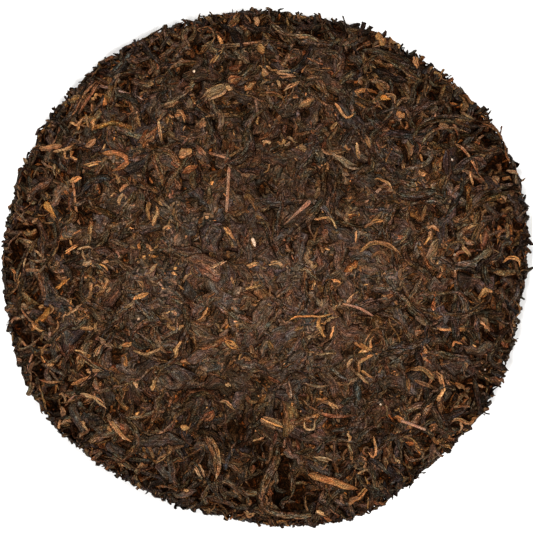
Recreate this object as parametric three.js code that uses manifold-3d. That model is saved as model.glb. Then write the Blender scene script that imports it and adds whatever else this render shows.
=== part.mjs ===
// Pu erh tea cake: a 357 g disc of fermented tea leaves, steamed, tied in a cloth bag and pressed
// under a stone, then dried. The leaves hold together by themselves, so the cake is one solid: a
// pressed core with its largest leaves, buds and stems fused on, half sunk in it.
//
// Millimetres, +Z up. The cake lies crown up, as it is served. The origin is under its middle, on
// the surface that it rests on, and the plan is seen from above with +X to the right.

import * as THREE from 'three';
import { mergeVertices } from 'three/addons/utils/BufferGeometryUtils.js';
import { ImprovedNoise } from 'three/addons/math/ImprovedNoise.js';
import Module from 'manifold-3d';

// The pressed core: a crown above the widest line of the side, an underside below it that curls
// in to a flat resting ring, and the hollow that the knot of the cloth leaves in the middle
const CORE_RADIUS = 96;
const CORE_HEIGHT = 20.8;
const WIDEST_AT = 8.6;
const RESTING_RING = { inner: 30, outer: 60 };
const KNOT_HOLLOW_DEPTH = 9;

// How full the curves are between those sizes: higher stays level further out
const CROWN_FULLNESS = 3;
const UNDERSIDE_FULLNESS = 2.4;
const HOLLOW_FULLNESS = 1.5;

// The outline was patted into shape by hand in its bag, so it swells and flattens a little:
// where on the rim, how far round it reaches, and how far the rim moves out
const OUTLINE_SWELLS = [
  { at: 25, reach: 16, grow: 3.6 },
  { at: 62, reach: 9, grow: 1.2 },
  { at: 137, reach: 16, grow: 1.6 },
  { at: 172, reach: 12, grow: 1.2 },
  { at: 208, reach: 12, grow: 2.4 },
  { at: 245, reach: 17, grow: -2.6 },
  { at: 291, reach: 8, grow: 2.0 },
  { at: 312, reach: 8, grow: -1.4 },
  { at: 350, reach: 7, grow: -1.6 },
];

// The packed leaves make the core uneven: broad hollows, and lumps as large as a folded leaf,
// which stand out more on the loose rim than on the pressed faces
const BROAD_WAVE = { span: 34, height: 0.7 };
const LEAF_LUMPS = { span: 7, face: 1.3, rim: 1.9 };
const LOOSE_RIM = { from: 0.8, full: 0.98 };

// How finely a side of the ball that becomes the core is divided, how much closer its rows then
// lie on the rim than on the faces, and the straight steps of the section that they follow
const CORE_DETAIL = 13;
const RIM_CROWDING = 0.08;
const SECTION_STEPS = 180;

// Leaf pieces at their true size. Blunt pieces keep their width up to the ends, a rolled leaf
// turns round itself along its length, and a flat one ripples up and down
const PIECES = {
  roll: { width: 2.5, thick: 2.6, bluntness: 0.5, sides: 5, rings: 5, turn: 1.6, ripple: 0 },
  bud: { width: 1.9, thick: 2.2, bluntness: 0.2, sides: 4, rings: 5, turn: 0, ripple: 0 },
  stem: { width: 1.6, thick: 2.0, bluntness: 0.7, sides: 4, rings: 4, turn: 0, ripple: 0 },
  flat: { width: 5.4, thick: 2.0, bluntness: 0.4, sides: 4, rings: 5, turn: 0, ripple: 0.3 },
};
const RIPPLE_SWING = 7;

// How far below the skin the middle of a piece lies, and the share of its lift by which a
// lifted piece starts deeper than that
const SUNK = 0.4;
const LIFT_ROOT = 0.2;

// The pieces that catch the eye on the crown, each through its points on the plan
const CROWN_PIECES = [
  // broad flat leaves and long strips
  { kind: 'flat', points: [[-72, 55], [-66, 63.5], [-60.5, 70.5]], width: 3.4 },
  { kind: 'flat', points: [[-47, -65.5], [-38, -63], [-29.5, -64.5]], width: 5.4 },
  { kind: 'flat', points: [[7.5, -59], [9.5, -54.5], [9, -49.5]], width: 6.2 },
  { kind: 'flat', points: [[-47.5, 43.5], [-43, 48.5], [-40, 52.5]], width: 4.2 },
  { kind: 'flat', points: [[-11.5, -34], [-7, -35.5], [-2.5, -35]], width: 3.6 },
  { kind: 'flat', points: [[6.5, 16], [11, 20.5], [16, 24.5]], width: 3.4 },
  { kind: 'flat', points: [[21, 44.5], [29, 39], [38, 37.5]], width: 2.4 },
  { kind: 'flat', points: [[75.5, 9.5], [79.5, 13], [80, 18]], width: 3 },
  { kind: 'flat', points: [[59, 3], [60.5, 7.5], [63.5, 11]], width: 3 },
  { kind: 'flat', points: [[-38, -39.5], [-34, -45], [-31, -41.5]], width: 4 },
  // rolled leaves
  { kind: 'roll', points: [[5, -66], [-1, -79], [-2, -88]], width: 3.6 },
  { kind: 'roll', points: [[15.5, -75.5], [24, -79.5], [34, -81.5]] },
  { kind: 'roll', points: [[-41, 44], [-44, 36], [-40, 29]] },
  { kind: 'roll', points: [[-40.5, 44], [-35, 43], [-31.5, 37]] },
  { kind: 'roll', points: [[-70.5, -30], [-64, -36], [-58, -38.5]] },
  { kind: 'roll', points: [[54, -40.5], [59, -41.5], [62.5, -44.5]] },
  { kind: 'roll', points: [[52, -36.5], [58.5, -35.5], [63, -41.5]] },
  // golden buds and tips
  { kind: 'bud', points: [[-61.5, 41.5], [-48, 43.5], [-57, 35.5]] },
  { kind: 'bud', points: [[-81.5, 25], [-79.5, 22.5], [-77, 19.5]], width: 2.4 },
  { kind: 'bud', points: [[-40, 56], [-38.5, 51], [-38, 45]] },
  { kind: 'bud', points: [[-21.5, 73.5], [-18, 78], [-14.5, 83]] },
  { kind: 'bud', points: [[-22.5, 0], [-18, 2.5], [-13, 3.5]] },
  { kind: 'bud', points: [[17, 17.5], [26.5, 21], [26, 13.5]] },
  { kind: 'bud', points: [[25, 61.5], [27.5, 53.5], [33.5, 58]] },
  { kind: 'bud', points: [[32, 4.5], [43, 14.5], [50.5, 1.5]], width: 2 },
  { kind: 'bud', points: [[36, 15.5], [41, 19.5], [47, 17]] },
  { kind: 'bud', points: [[-9, 1], [-0.5, 5], [7.5, -1.5]] },
  { kind: 'bud', points: [[32, -26.5], [36, -27.5], [41, -31.5]] },
  { kind: 'bud', points: [[32.5, -37], [36.5, -39], [38.5, -43.5]] },
  { kind: 'bud', points: [[-49.5, -29.5], [-44, -33.5], [-37.5, -28.5]] },
  { kind: 'bud', points: [[-70.5, -45.5], [-63, -47], [-57.5, -52.5]] },
  { kind: 'bud', points: [[-58.5, -54], [-53.5, -59.5], [-48.5, -65]] },
  { kind: 'bud', points: [[8, -19.5], [16.5, -15.5], [25.5, -17]] },
  { kind: 'bud', points: [[67, -57.5], [73, -54.5], [80, -55]] },
  // stems
  { kind: 'stem', points: [[-13.5, 38], [-13, 29], [-14.5, 20]] },
  { kind: 'stem', points: [[28, -13], [34, -14.5], [40, -18]] },
  { kind: 'stem', points: [[49, -56], [54, -57], [59.5, -60]] },
  { kind: 'stem', points: [[-75.5, 4.5], [-72, 8], [-68, 9.5]] },
];

// The rest is drawn: so many pieces of each kind, spread evenly over a band of the crown, the
// side and the underside, measured along the skin from the middle of that face. Pieces near the
// rim run more along it, and some on the side lift off it as ragged tips
const DRAWN = {
  crown: { from: 8, to: 86, alongRim: 0, ragged: 0, counts: { roll: 14, flat: 6, bud: 4, stem: 2 } },
  side: { from: 94, to: 107, alongRim: 0.45, ragged: 0.45, counts: { roll: 26, flat: 4, bud: 3, stem: 2 } },
  underside: { from: 74, to: 92, alongRim: 0.4, ragged: 0, counts: { roll: 10, flat: 5, bud: 2, stem: 1 } },
};
const DRAWN_LENGTH = { roll: [11, 21], bud: [7, 12], stem: [12, 20], flat: [9, 15] };
const DRAWN_BOW = 0.3;
const RAGGED_LIFT = [1, 2.6];
const SEED = 357;

const GOLDEN_ANGLE = Math.PI * (3 - Math.sqrt(5));
const SAME_POINT = 1e-5;
const { degToRad, lerp, smoothstep } = THREE.MathUtils;

// ---- the skin of the core -------------------------------------------------------------------

function crownHeight(radius) {
  const rise = CORE_HEIGHT - WIDEST_AT;
  return WIDEST_AT + rise * Math.sqrt(1 - (radius / CORE_RADIUS) ** CROWN_FULLNESS);
}

function undersideHeight(radius) {
  const { inner, outer } = RESTING_RING;
  if (radius < inner) {
    return KNOT_HOLLOW_DEPTH * (0.5 + 0.5 * Math.cos(Math.PI * (radius / inner) ** HOLLOW_FULLNESS));
  }
  const out = Math.max(0, (radius - outer) / (CORE_RADIUS - outer));
  return WIDEST_AT * (1 - Math.sqrt(1 - Math.min(1, out) ** UNDERSIDE_FULLNESS));
}

// Half of the section, from the crown over the rim to the middle of the hollow
function sectionLine() {
  const points = [];
  for (let step = 0; step <= SECTION_STEPS; step++) {
    const swing = (Math.PI * step) / SECTION_STEPS;
    const radius = CORE_RADIUS * Math.sin(swing);
    const height = swing < Math.PI / 2 ? crownHeight(radius) : undersideHeight(radius);
    points.push(new THREE.Vector2(radius, height));
  }
  return new THREE.Path().setFromPoints(points);
}

const section = sectionLine();
const sectionLength = section.getLength();
const rimAlong = alongAtRadius(CORE_RADIUS);

// How far along the section the crown reaches a given radius
function alongAtRadius(radius) {
  const reached = Math.min(radius, CORE_RADIUS * 0.998);
  let along = 0;
  while (section.getPoint(along / sectionLength).x < reached) along += 0.1;
  return along;
}

const noise = new ImprovedNoise();

function waviness(x, y, z, { span }) {
  return noise.noise(x / span, y / span, z / span);
}

function outlineGrowth(angle) {
  let growth = 0;
  for (const { at, reach, grow } of OUTLINE_SWELLS) {
    const off = Math.atan2(Math.sin(angle - degToRad(at)), Math.cos(angle - degToRad(at)));
    growth += grow * Math.exp(-((off / degToRad(reach)) ** 2) / 2);
  }
  return growth;
}

// A point on the core, `along` the section and at an `angle` round it, moved `out` of the skin
function onSkin(along, angle, out) {
  const at = THREE.MathUtils.clamp(along / sectionLength, 0, 1);
  const here = section.getPoint(at);
  const before = section.getPoint(Math.max(0, at - 1 / SECTION_STEPS));
  const after = section.getPoint(Math.min(1, at + 1 / SECTION_STEPS));
  const slope = after.sub(before).normalize();

  const [x, y] = [here.x * Math.cos(angle), here.x * Math.sin(angle)];
  const looseness = smoothstep(here.x / CORE_RADIUS, LOOSE_RIM.from, LOOSE_RIM.full);
  const resting = along > rimAlong && here.x > RESTING_RING.inner && here.x < RESTING_RING.outer;
  const broad = BROAD_WAVE.height * waviness(x, y, 0, BROAD_WAVE);
  const lumps = lerp(LEAF_LUMPS.face, LEAF_LUMPS.rim, looseness) * waviness(x, y, here.y, LEAF_LUMPS);
  const relief = resting ? 0 : broad + lumps;

  const radius = here.x + outlineGrowth(angle) * (here.x / CORE_RADIUS) ** 4 - slope.y * (relief + out);
  const height = here.y + slope.x * (relief + out);
  return new THREE.Vector3(radius * Math.cos(angle), radius * Math.sin(angle), Math.max(0, height));
}

// The core is a ball of even facets whose latitude runs along the section, slower at the rim
function coreGeometry() {
  const geometry = bareMesh(new THREE.IcosahedronGeometry(1, CORE_DETAIL));
  const position = geometry.getAttribute('position');
  const corner = new THREE.Vector3();
  for (let i = 0; i < position.count; i++) {
    corner.fromBufferAttribute(position, i);
    const latitude = Math.acos(THREE.MathUtils.clamp(corner.z, -1, 1));
    const share = latitude / Math.PI + RIM_CROWDING * Math.sin(2 * latitude);
    const moved = onSkin(share * sectionLength, Math.atan2(corner.y, corner.x), 0);
    position.setXYZ(i, moved.x, moved.y, moved.z);
  }
  return geometry;
}

// ---- the leaf pieces --------------------------------------------------------------------------

// Flat maps of the skin, along which pieces are laid out: each keeps distances from its centre
function onCrown(x, y, out) {
  return onSkin(Math.hypot(x, y), Math.atan2(y, x), out);
}

function onUnderside(x, y, out) {
  return onSkin(sectionLength - Math.hypot(x, y), -Math.atan2(y, x), out);
}

// A piece is a ball drawn out along its line, more than half sunk in the core. A lifted one
// starts in the core and ends clear of it
function pieceGeometry(place, line, { width, thick, bluntness, sides, rings, turn, ripple, lift = 0 }) {
  const geometry = bareMesh(new THREE.SphereGeometry(1, sides, rings));
  const position = geometry.getAttribute('position');
  for (let i = 0; i < position.count; i++) {
    const share = Math.acos(THREE.MathUtils.clamp(position.getY(i), -1, 1)) / Math.PI;
    const fill = Math.max(SAME_POINT, Math.sin(Math.PI * share)) ** -bluntness;
    const turned = new THREE.Vector2(position.getX(i), position.getZ(i));
    turned.rotateAround(new THREE.Vector2(), turn * share).multiplyScalar(fill);

    const across = (turned.x * width) / 2;
    const rise = lift * (share ** 2 - LIFT_ROOT) + ripple * Math.sin(RIPPLE_SWING * share);
    const out = (turned.y * thick) / 2 + rise - SUNK;
    const middle = line.getPoint(share);
    const way = line.getTangent(share);
    const moved = place(middle.x - way.y * across, middle.y + way.x * across, out);
    position.setXYZ(i, moved.x, moved.y, moved.z);
  }
  return geometry;
}

function lineThrough([from, bend, to]) {
  const [start, middle, end] = [from, bend, to].map(([x, y]) => new THREE.Vector2(x, y));
  return new THREE.QuadraticBezierCurve(start, middle, end);
}

// Plan positions near the rim lie further along the skin than they measure on the plan
function planToCrown([x, y]) {
  const stretch = alongAtRadius(Math.hypot(x, y)) / Math.hypot(x, y);
  return [x * stretch, y * stretch];
}

function crownPieces() {
  return CROWN_PIECES.map(({ kind, points, ...own }) => {
    const line = lineThrough(points.map(planToCrown));
    return pieceGeometry(onCrown, line, { ...PIECES[kind], ...own });
  });
}

// Random number between two bounds, the same on every run
const draw = (low, high) => lerp(low, high, THREE.MathUtils.seededRandom());

// Pieces of every kind, shuffled, laid along a golden spiral over a band of a map
function drawnPieces(place, { from, to, alongRim, ragged, counts }) {
  const kinds = Object.entries(counts).flatMap(([kind, count]) => Array(count).fill(kind));
  kinds.sort(() => draw(-1, 1));
  return kinds.map((kind, index) => {
    const share = (index + 0.5) / kinds.length;
    const radius = Math.sqrt(lerp(from * from, to * to, share));
    const angle = index * GOLDEN_ANGLE;
    const heading = angle + Math.PI / 2 + draw(-1, 1) * (1 - alongRim) * (Math.PI / 2);
    const length = draw(...DRAWN_LENGTH[kind]);
    const bow = length * draw(-DRAWN_BOW, DRAWN_BOW);
    const middle = new THREE.Vector2(radius * Math.cos(angle), radius * Math.sin(angle));
    const half = new THREE.Vector2(Math.cos(heading), Math.sin(heading)).multiplyScalar(length / 2);
    const side = new THREE.Vector2(-Math.sin(heading), Math.cos(heading)).multiplyScalar(bow);
    const line = lineThrough([
      middle.clone().sub(half).toArray(),
      middle.clone().add(side).toArray(),
      middle.clone().add(half).toArray(),
    ]);
    const lift = draw(0, 1) < ragged ? draw(...RAGGED_LIFT) : 0;
    return pieceGeometry(place, line, { ...PIECES[kind], lift });
  });
}

function allPieces() {
  THREE.MathUtils.seededRandom(SEED);
  return [
    ...crownPieces(),
    ...drawnPieces(onCrown, DRAWN.crown),
    ...drawnPieces(onCrown, DRAWN.side),
    ...drawnPieces(onUnderside, DRAWN.underside),
  ];
}

// ---- fusing -------------------------------------------------------------------------------------

function bareMesh(geometry) {
  geometry.deleteAttribute('normal');
  geometry.deleteAttribute('uv');
  return mergeVertices(geometry, SAME_POINT);
}

const wasm = await Module();
wasm.setup();

function solidOf(geometry) {
  const mesh = new wasm.Mesh({
    numProp: 3,
    vertProperties: new Float32Array(geometry.getAttribute('position').array),
    triVerts: new Uint32Array(geometry.index.array),
  });
  mesh.merge();
  return new wasm.Manifold(mesh);
}

function geometryOf(solid) {
  const { vertProperties, triVerts } = solid.getMesh();
  const geometry = new THREE.BufferGeometry();
  geometry.setAttribute('position', new THREE.BufferAttribute(vertProperties, 3));
  geometry.setIndex(new THREE.BufferAttribute(triVerts, 1));
  return geometry;
}

let cake = solidOf(coreGeometry());
for (const piece of allPieces()) cake = cake.add(solidOf(piece));

const geometry = geometryOf(cake);
geometry.computeVertexNormals();

const leaves = new THREE.MeshStandardMaterial({ color: 0x4a3627, roughness: 0.6, metalness: 0 });
const teaCake = new THREE.Mesh(geometry, leaves);
teaCake.name = 'tea_cake';

const part = new THREE.Group();
part.add(teaCake);

export default part;
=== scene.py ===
import math

import bmesh
import bpy
import numpy as np
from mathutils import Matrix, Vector


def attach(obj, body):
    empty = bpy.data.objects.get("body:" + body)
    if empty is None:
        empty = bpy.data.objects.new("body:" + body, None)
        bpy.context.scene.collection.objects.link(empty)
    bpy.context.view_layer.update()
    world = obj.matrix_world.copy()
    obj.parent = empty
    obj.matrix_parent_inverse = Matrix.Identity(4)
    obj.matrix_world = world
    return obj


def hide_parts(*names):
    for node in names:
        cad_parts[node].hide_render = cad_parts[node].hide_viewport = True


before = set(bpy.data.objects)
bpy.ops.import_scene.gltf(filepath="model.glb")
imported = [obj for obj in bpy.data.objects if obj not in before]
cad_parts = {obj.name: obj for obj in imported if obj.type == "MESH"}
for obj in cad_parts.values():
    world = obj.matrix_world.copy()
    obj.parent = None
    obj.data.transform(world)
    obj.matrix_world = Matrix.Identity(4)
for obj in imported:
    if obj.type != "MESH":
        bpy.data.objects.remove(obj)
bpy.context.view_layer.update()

MM = 0.001


# ==== The table and the light ====
# The cake lies alone on a plain white table. Three soft round lamps hang over it, the room is
# bright all round, and the camera looks straight down on the middle of the crown.

TABLE_HALF = 3.0
TABLE_DROP = 0.05 * MM
VIEW_MIDDLE = Vector((0.19, -0.56, 8.6)) * MM
VIEW_HEIGHT = 200.3 * MM
CAMERA_RISE = 1.2
SENSOR = 36.0
SEES_AS_FAR_AS = 20
ROOM_LIGHT = 0.62
ROOM_COLOUR = (1.0, 0.995, 0.985, 1)
LAMP_SIZE = 0.4

# Each lamp's place over the table, in metres, and its power in watts
LAMPS = {
    "near_lamp": ((-0.42, -0.6, 1.35), 17.0),
    "far_lamp": ((-0.25, 0.62, 1.35), 10.0),
    "side_lamp": ((0.62, 0.05, 1.35), 11.0),
}


def srgb(red, green, blue):
    """A colour as a screen shows it, 0 to 255, in the linear values that a shader takes"""
    shown = np.array([red, green, blue]) / 255
    return np.where(shown <= 0.04045, shown / 12.92, ((shown + 0.055) / 1.055) ** 2.4)


class Wire:
    """A socket that gives a value, a colour or a place, and that can be reckoned with"""

    def __init__(self, finish, socket):
        self.finish = finish
        self.socket = socket

    def maths(self, operation, *given):
        return self.finish.node("ShaderNodeMath", {"operation": operation}, dict(enumerate(given)))

    def vector_maths(self, operation, given):
        return self.finish.node("ShaderNodeVectorMath", {"operation": operation}, given)

    def __add__(self, other):
        return self.maths("ADD", self, other)

    def __sub__(self, other):
        return self.maths("SUBTRACT", self, other)

    def __rsub__(self, other):
        return self.maths("SUBTRACT", other, self)

    def __mul__(self, other):
        return self.maths("MULTIPLY", self, other)

    __radd__ = __add__
    __rmul__ = __mul__

    def also(self, result):
        """Another result of the same node"""
        return Wire(self.finish, self.socket.node.outputs[result])

    def between(self, low, high):
        """0 below low, 1 above high, and smooth between them"""
        settings = {"interpolation_type": "SMOOTHSTEP"}
        given = {"Value": self, "From Min": low, "From Max": high}
        return self.finish.node("ShaderNodeMapRange", settings, given)

    def mixed(self, first, second):
        """One colour into another by this share"""
        given = {0: self, 6: first, 7: second}
        return self.finish.node("ShaderNodeMix", {"data_type": "RGBA"}, given, 2)

    def times(self, other):
        """A colour tinted by another, or a place with each direction scaled by its own number"""
        return self.vector_maths("MULTIPLY", {0: self, 1: other})

    def dimmed(self, share):
        return self.vector_maths("SCALE", {0: self, "Scale": share})

    def moved(self, push, reach):
        """The same place, pushed about by a noise colour"""
        return self.vector_maths("MULTIPLY_ADD", {0: push, 1: (reach, reach, reach), 2: self})

    def turned(self, angle):
        given = {"Vector": self, "Angle": angle}
        return self.finish.node("ShaderNodeVectorRotate", {"rotation_type": "Z_AXIS"}, given)

    def noise(self, scale, detail=2.0, rough=0.5, result=0):
        given = {"Vector": self, "Scale": scale, "Detail": detail, "Roughness": rough}
        return self.finish.node("ShaderNodeTexNoise", {}, given, result)

    def lines(self, scale, width):
        """0 on thin winding lines where a noise crosses its middle, and 1 between them"""
        off = self.noise(scale) - 0.5
        return off.maths("ABSOLUTE", off).between(0.0, width)


class Finish:
    """A material with one shader, whose patterns are written as sums of wires"""

    def __init__(self, name, **constants):
        self.material = bpy.data.materials.new(name)
        self.material.use_nodes = True
        self.tree = self.material.node_tree
        self.tree.nodes.clear()
        self.shader = self.tree.nodes.new("ShaderNodeBsdfPrincipled")
        output = self.tree.nodes.new("ShaderNodeOutputMaterial")
        self.tree.links.new(self.shader.outputs["BSDF"], output.inputs["Surface"])
        self.shows(**constants)

    def shows(self, **given):
        """Values or wires for the shader, by the names of its sockets"""
        for socket, value in given.items():
            self.feed(self.shader.inputs[socket.replace("_", " ")], value)
        return self.material

    def feed(self, socket, value):
        if isinstance(value, Wire):
            self.tree.links.new(value.socket, socket)
        elif socket.type == "RGBA":
            socket.default_value = (*value, 1)
        else:
            socket.default_value = value

    def node(self, kind, settings, given, result=0):
        """One node: its settings first, then the values or wires of its sockets"""
        made = self.tree.nodes.new(kind)
        for setting, value in settings.items():
            setattr(made, setting, value)
        for socket, value in given.items():
            self.feed(made.inputs[socket], value)
        return Wire(self, made.outputs[result])

    def mapped(self, name):
        return self.node("ShaderNodeUVMap", {"uv_map": name}, {})

    def painted(self, name):
        return self.node("ShaderNodeAttribute", {"attribute_name": name}, {}, "Color")

    def place(self):
        return self.node("ShaderNodeTexCoord", {}, {}, "Object")

    def bumped(self, height, distance, strength):
        given = {"Height": height, "Distance": distance, "Strength": strength}
        return self.node("ShaderNodeBump", {}, given)


def new_object(name, data):
    made = bpy.data.objects.new(name, data)
    bpy.context.scene.collection.objects.link(made)
    return made


sheet = bmesh.new()
bmesh.ops.create_grid(sheet, x_segments=1, y_segments=1, size=TABLE_HALF)
bmesh.ops.translate(sheet, verts=sheet.verts, vec=(0, 0, -TABLE_DROP))
table_mesh = bpy.data.meshes.new("table_top")
sheet.to_mesh(table_mesh)
sheet.free()
table_top = new_object("table_top", table_mesh)

table_finish = Finish("white_table", Roughness=0.7, Specular_IOR_Level=0.2)
cloudy = table_finish.place().noise(3.0, 3.0, 0.6)
table_white = cloudy.mixed(srgb(244, 243, 241), srgb(248, 247, 246))
table_mesh.materials.append(table_finish.shows(Base_Color=table_white))

room = bpy.data.worlds.new("bright_room")
room.use_nodes = True
room.node_tree.nodes["Background"].inputs["Color"].default_value = ROOM_COLOUR
room.node_tree.nodes["Background"].inputs["Strength"].default_value = ROOM_LIGHT
bpy.context.scene.world = room

for name, (at, power) in LAMPS.items():
    light = bpy.data.lights.new(name, "AREA")
    light.shape = "DISK"
    light.size = LAMP_SIZE
    light.energy = power
    hung = new_object(name, light)
    hung.location = at
    hung.rotation_euler = (-Vector(at)).to_track_quat("-Z", "Y").to_euler()

camera = bpy.data.cameras.new("overhead_camera")
camera.sensor_width = SENSOR
camera.lens = SENSOR * CAMERA_RISE / VIEW_HEIGHT
camera.clip_end = SEES_AS_FAR_AS
viewer = new_object("overhead_camera", camera)
viewer.location = VIEW_MIDDLE + Vector((0, 0, CAMERA_RISE))
bpy.context.scene.camera = viewer
bpy.context.scene.view_settings.view_transform = "Standard"


# ==== The form of the cake ====
# The cake was pressed under a stone in its cloth bag: a low crown, a blunt rim that crumbled here
# and there, a flat ring to lie on, and a hollow underneath where the knot of the bag was.

CORE_RADIUS = 96.0
CORE_HEIGHT = 20.8
WIDEST_AT = 8.6
RING_INNER = 30.0
RING_OUTER = 60.0
KNOT_HOLLOW_DEPTH = 9.0
CROWN_FULLNESS = 3.0
UNDERSIDE_FULLNESS = 2.4
HOLLOW_FULLNESS = 1.5
SECTION_STEPS = 180
SLOPE_REACH = 1.0
SEED = 357

# Where on the rim the outline swells or flattens, in degrees, how far round, and by how much in
# mm. It fades away towards the middle by this power of the radius.
OUTLINE_SWELLS = [
    (25, 16, 3.6), (62, 7, 0.8), (137, 16, 1.6), (172, 12, 1.2), (208, 12, 2.4),
    (245, 17, -2.6), (291, 8, 2.0), (312, 8, -1.4), (350, 7, -1.6), (76, 20, -1.0), (260, 7, -1.2),
]
SWELL_FADE = 4

# How loose the leaves lie, by share of the radius: pressed hard on both faces, looser at the rim
LOOSE_OVER = (0.62, 1.04)

# The rim swells and falls back in lumps a few mm wide where leaves broke away
LUMP_COUNT = 32
LUMP_SPANS = (2.2, 8.0)
LUMP_HEIGHT = 0.42
LUMPS_FROM = 0.84

draws = np.random.default_rng(SEED)


def between(low, high, share):
    return low + (high - low) * share


def smooth_step(value, low, high):
    share = np.clip((value - low) / (high - low), 0, 1)
    return share * share * (3 - 2 * share)


def around(distance, angle):
    """Places on a plan or a map, at a distance from its middle and in a direction"""
    return np.stack([distance * np.cos(angle), distance * np.sin(angle)], -1)


def summed_waves(places, ways, starts, height):
    """Waves that run all ways, laid over each other so that they reach about one wave's height"""
    total = sum(np.sin(places @ way + start) for way, start in zip(ways, starts))
    return height * total / math.sqrt(len(ways) / 2)


def section_line():
    """Half of the section, from the crown over the rim to the middle of the hollow"""
    swing = np.pi * np.arange(SECTION_STEPS + 1) / SECTION_STEPS
    radius = CORE_RADIUS * np.sin(swing)
    radius[-1] = 0
    drop = np.sqrt(1 - (radius / CORE_RADIUS) ** CROWN_FULLNESS)
    crown = WIDEST_AT + (CORE_HEIGHT - WIDEST_AT) * drop
    wave = 0.5 + 0.5 * np.cos(np.pi * np.minimum(1, radius / RING_INNER) ** HOLLOW_FULLNESS)
    out = np.clip((radius - RING_OUTER) / (CORE_RADIUS - RING_OUTER), 0, 1)
    under = WIDEST_AT * (1 - np.sqrt(1 - out ** UNDERSIDE_FULLNESS))
    under = np.where(radius < RING_INNER, KNOT_HOLLOW_DEPTH * wave, under)
    return radius, np.where(swing < np.pi / 2, crown, under)


section_radius, section_height = section_line()
steps = np.hypot(np.diff(section_radius), np.diff(section_height))
section_along = np.concatenate([[0], np.cumsum(steps)])
section_length = section_along[-1]
crown_half = slice(SECTION_STEPS // 2 + 1)

lump_ways = draws.normal(0, 1, (LUMP_COUNT, 3))
lump_ways /= np.linalg.norm(lump_ways, axis=1, keepdims=True)
lump_ways *= 2 * np.pi / np.geomspace(*LUMP_SPANS, LUMP_COUNT)[:, None]
lump_starts = draws.random(LUMP_COUNT) * 2 * np.pi


def outline_growth(angle, radius):
    growth = 0
    for at, reach, grow in OUTLINE_SWELLS:
        turned = angle - np.radians(at)
        off = np.arctan2(np.sin(turned), np.cos(turned))
        growth = growth + grow * np.exp(-((off / np.radians(reach)) ** 2) / 2)
    return growth * (radius / CORE_RADIUS) ** SWELL_FADE


def section_at(along):
    along = np.clip(along, 0, section_length)
    radius = np.interp(along, section_along, section_radius)
    height = np.interp(along, section_along, section_height)
    return radius, height


def looseness(along):
    return smooth_step(section_at(along)[0] / CORE_RADIUS, *LOOSE_OVER)


def rim_lumps(spots, along):
    """How far the skin stands out or falls back in lumps, nearly nothing on the pressed faces"""
    ragged = smooth_step(section_at(along)[0] / CORE_RADIUS, LUMPS_FROM, 1)
    return summed_waves(spots, lump_ways, lump_starts, LUMP_HEIGHT * ragged)


def on_skin(along, angle, out):
    """Points on the cake in metres: along the section, round it, and moved out of its skin"""
    radius, height = section_at(along)
    before = section_at(along - SLOPE_REACH)
    after = section_at(along + SLOPE_REACH)
    run, rise = after[0] - before[0], after[1] - before[1]
    size = np.hypot(run, rise)
    run, rise = run / size, rise / size
    spots = np.stack([radius * np.cos(angle), radius * np.sin(angle), height], -1)
    out = out + rim_lumps(spots, along)
    reach = radius + outline_growth(angle, radius) - rise * out
    level = np.maximum(0, height + run * out)
    return np.stack([reach * np.cos(angle), reach * np.sin(angle), level], -1) * MM


# ==== How the leaves are heaped ====
# Withered, rolled and fermented leaves are weighed out, steamed soft and tipped into the bag in
# layers. Each kind is strewn evenly over both faces, in a heap that is laid leaf by leaf below.

# How far each face's map reaches, along the skin from the middle of the face over the rim
FACE_REACH = {"crown": 112.0, "underside": section_length - 109.0}

# A leaf is a line of even steps, and the shares of its length at which they lie
LINE_STEPS = 40
LINE_SHARES = np.linspace(0, 1, LINE_STEPS + 1)
LINE_MIDDLE = LINE_STEPS // 2

# Waves start anywhere in their turn, in radians
ANY_START = 7

# The leaves are spread on a golden spiral and jolted off it, outward and round, in mm. The narrow
# ones are the more common.
GOLDEN_ANGLE = math.pi * (3 - math.sqrt(5))
JOLT_OUT = 1.5
JOLT_ROUND = 2
NARROW_CROWDING = 1.3

# Two leaves in five lie in loose bundles that point much the same way
BUNDLED = 0.4
BUNDLE_SPREAD = 0.28
DRIFT_SPAN = 32.0
DRIFT_SWING = 1.9
DRIFT_WAVES = 14
drift_ways = draws.normal(0, 2 * math.pi / DRIFT_SPAN, (DRIFT_WAVES, 2))
drift_starts = draws.random(DRIFT_WAVES) * ANY_START

# At the rim, many leaves lie round it, some point out of it, and all are narrower
NEAR_RIM = (84, 100)
ROUND_THE_RIM = 0.45
OUT_OF_THE_RIM = 0.2
RIM_SPREAD = 0.4
NARROWER_RIM = 0.8

# How the lines curve: the waves in a leaf's length, the turn of a kink, and its place and size
WAVES_ALONG = (0.6, 1.8)
KINK_TURN = 1.1
KINK_PLACE = (0.15, 0.85)
KINK_HALF = 0.06

# Towards the middle, the narrow leaves were pressed under broad ones and fewer of them show
THINNED_OVER = (25.0, 85.0)

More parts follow.
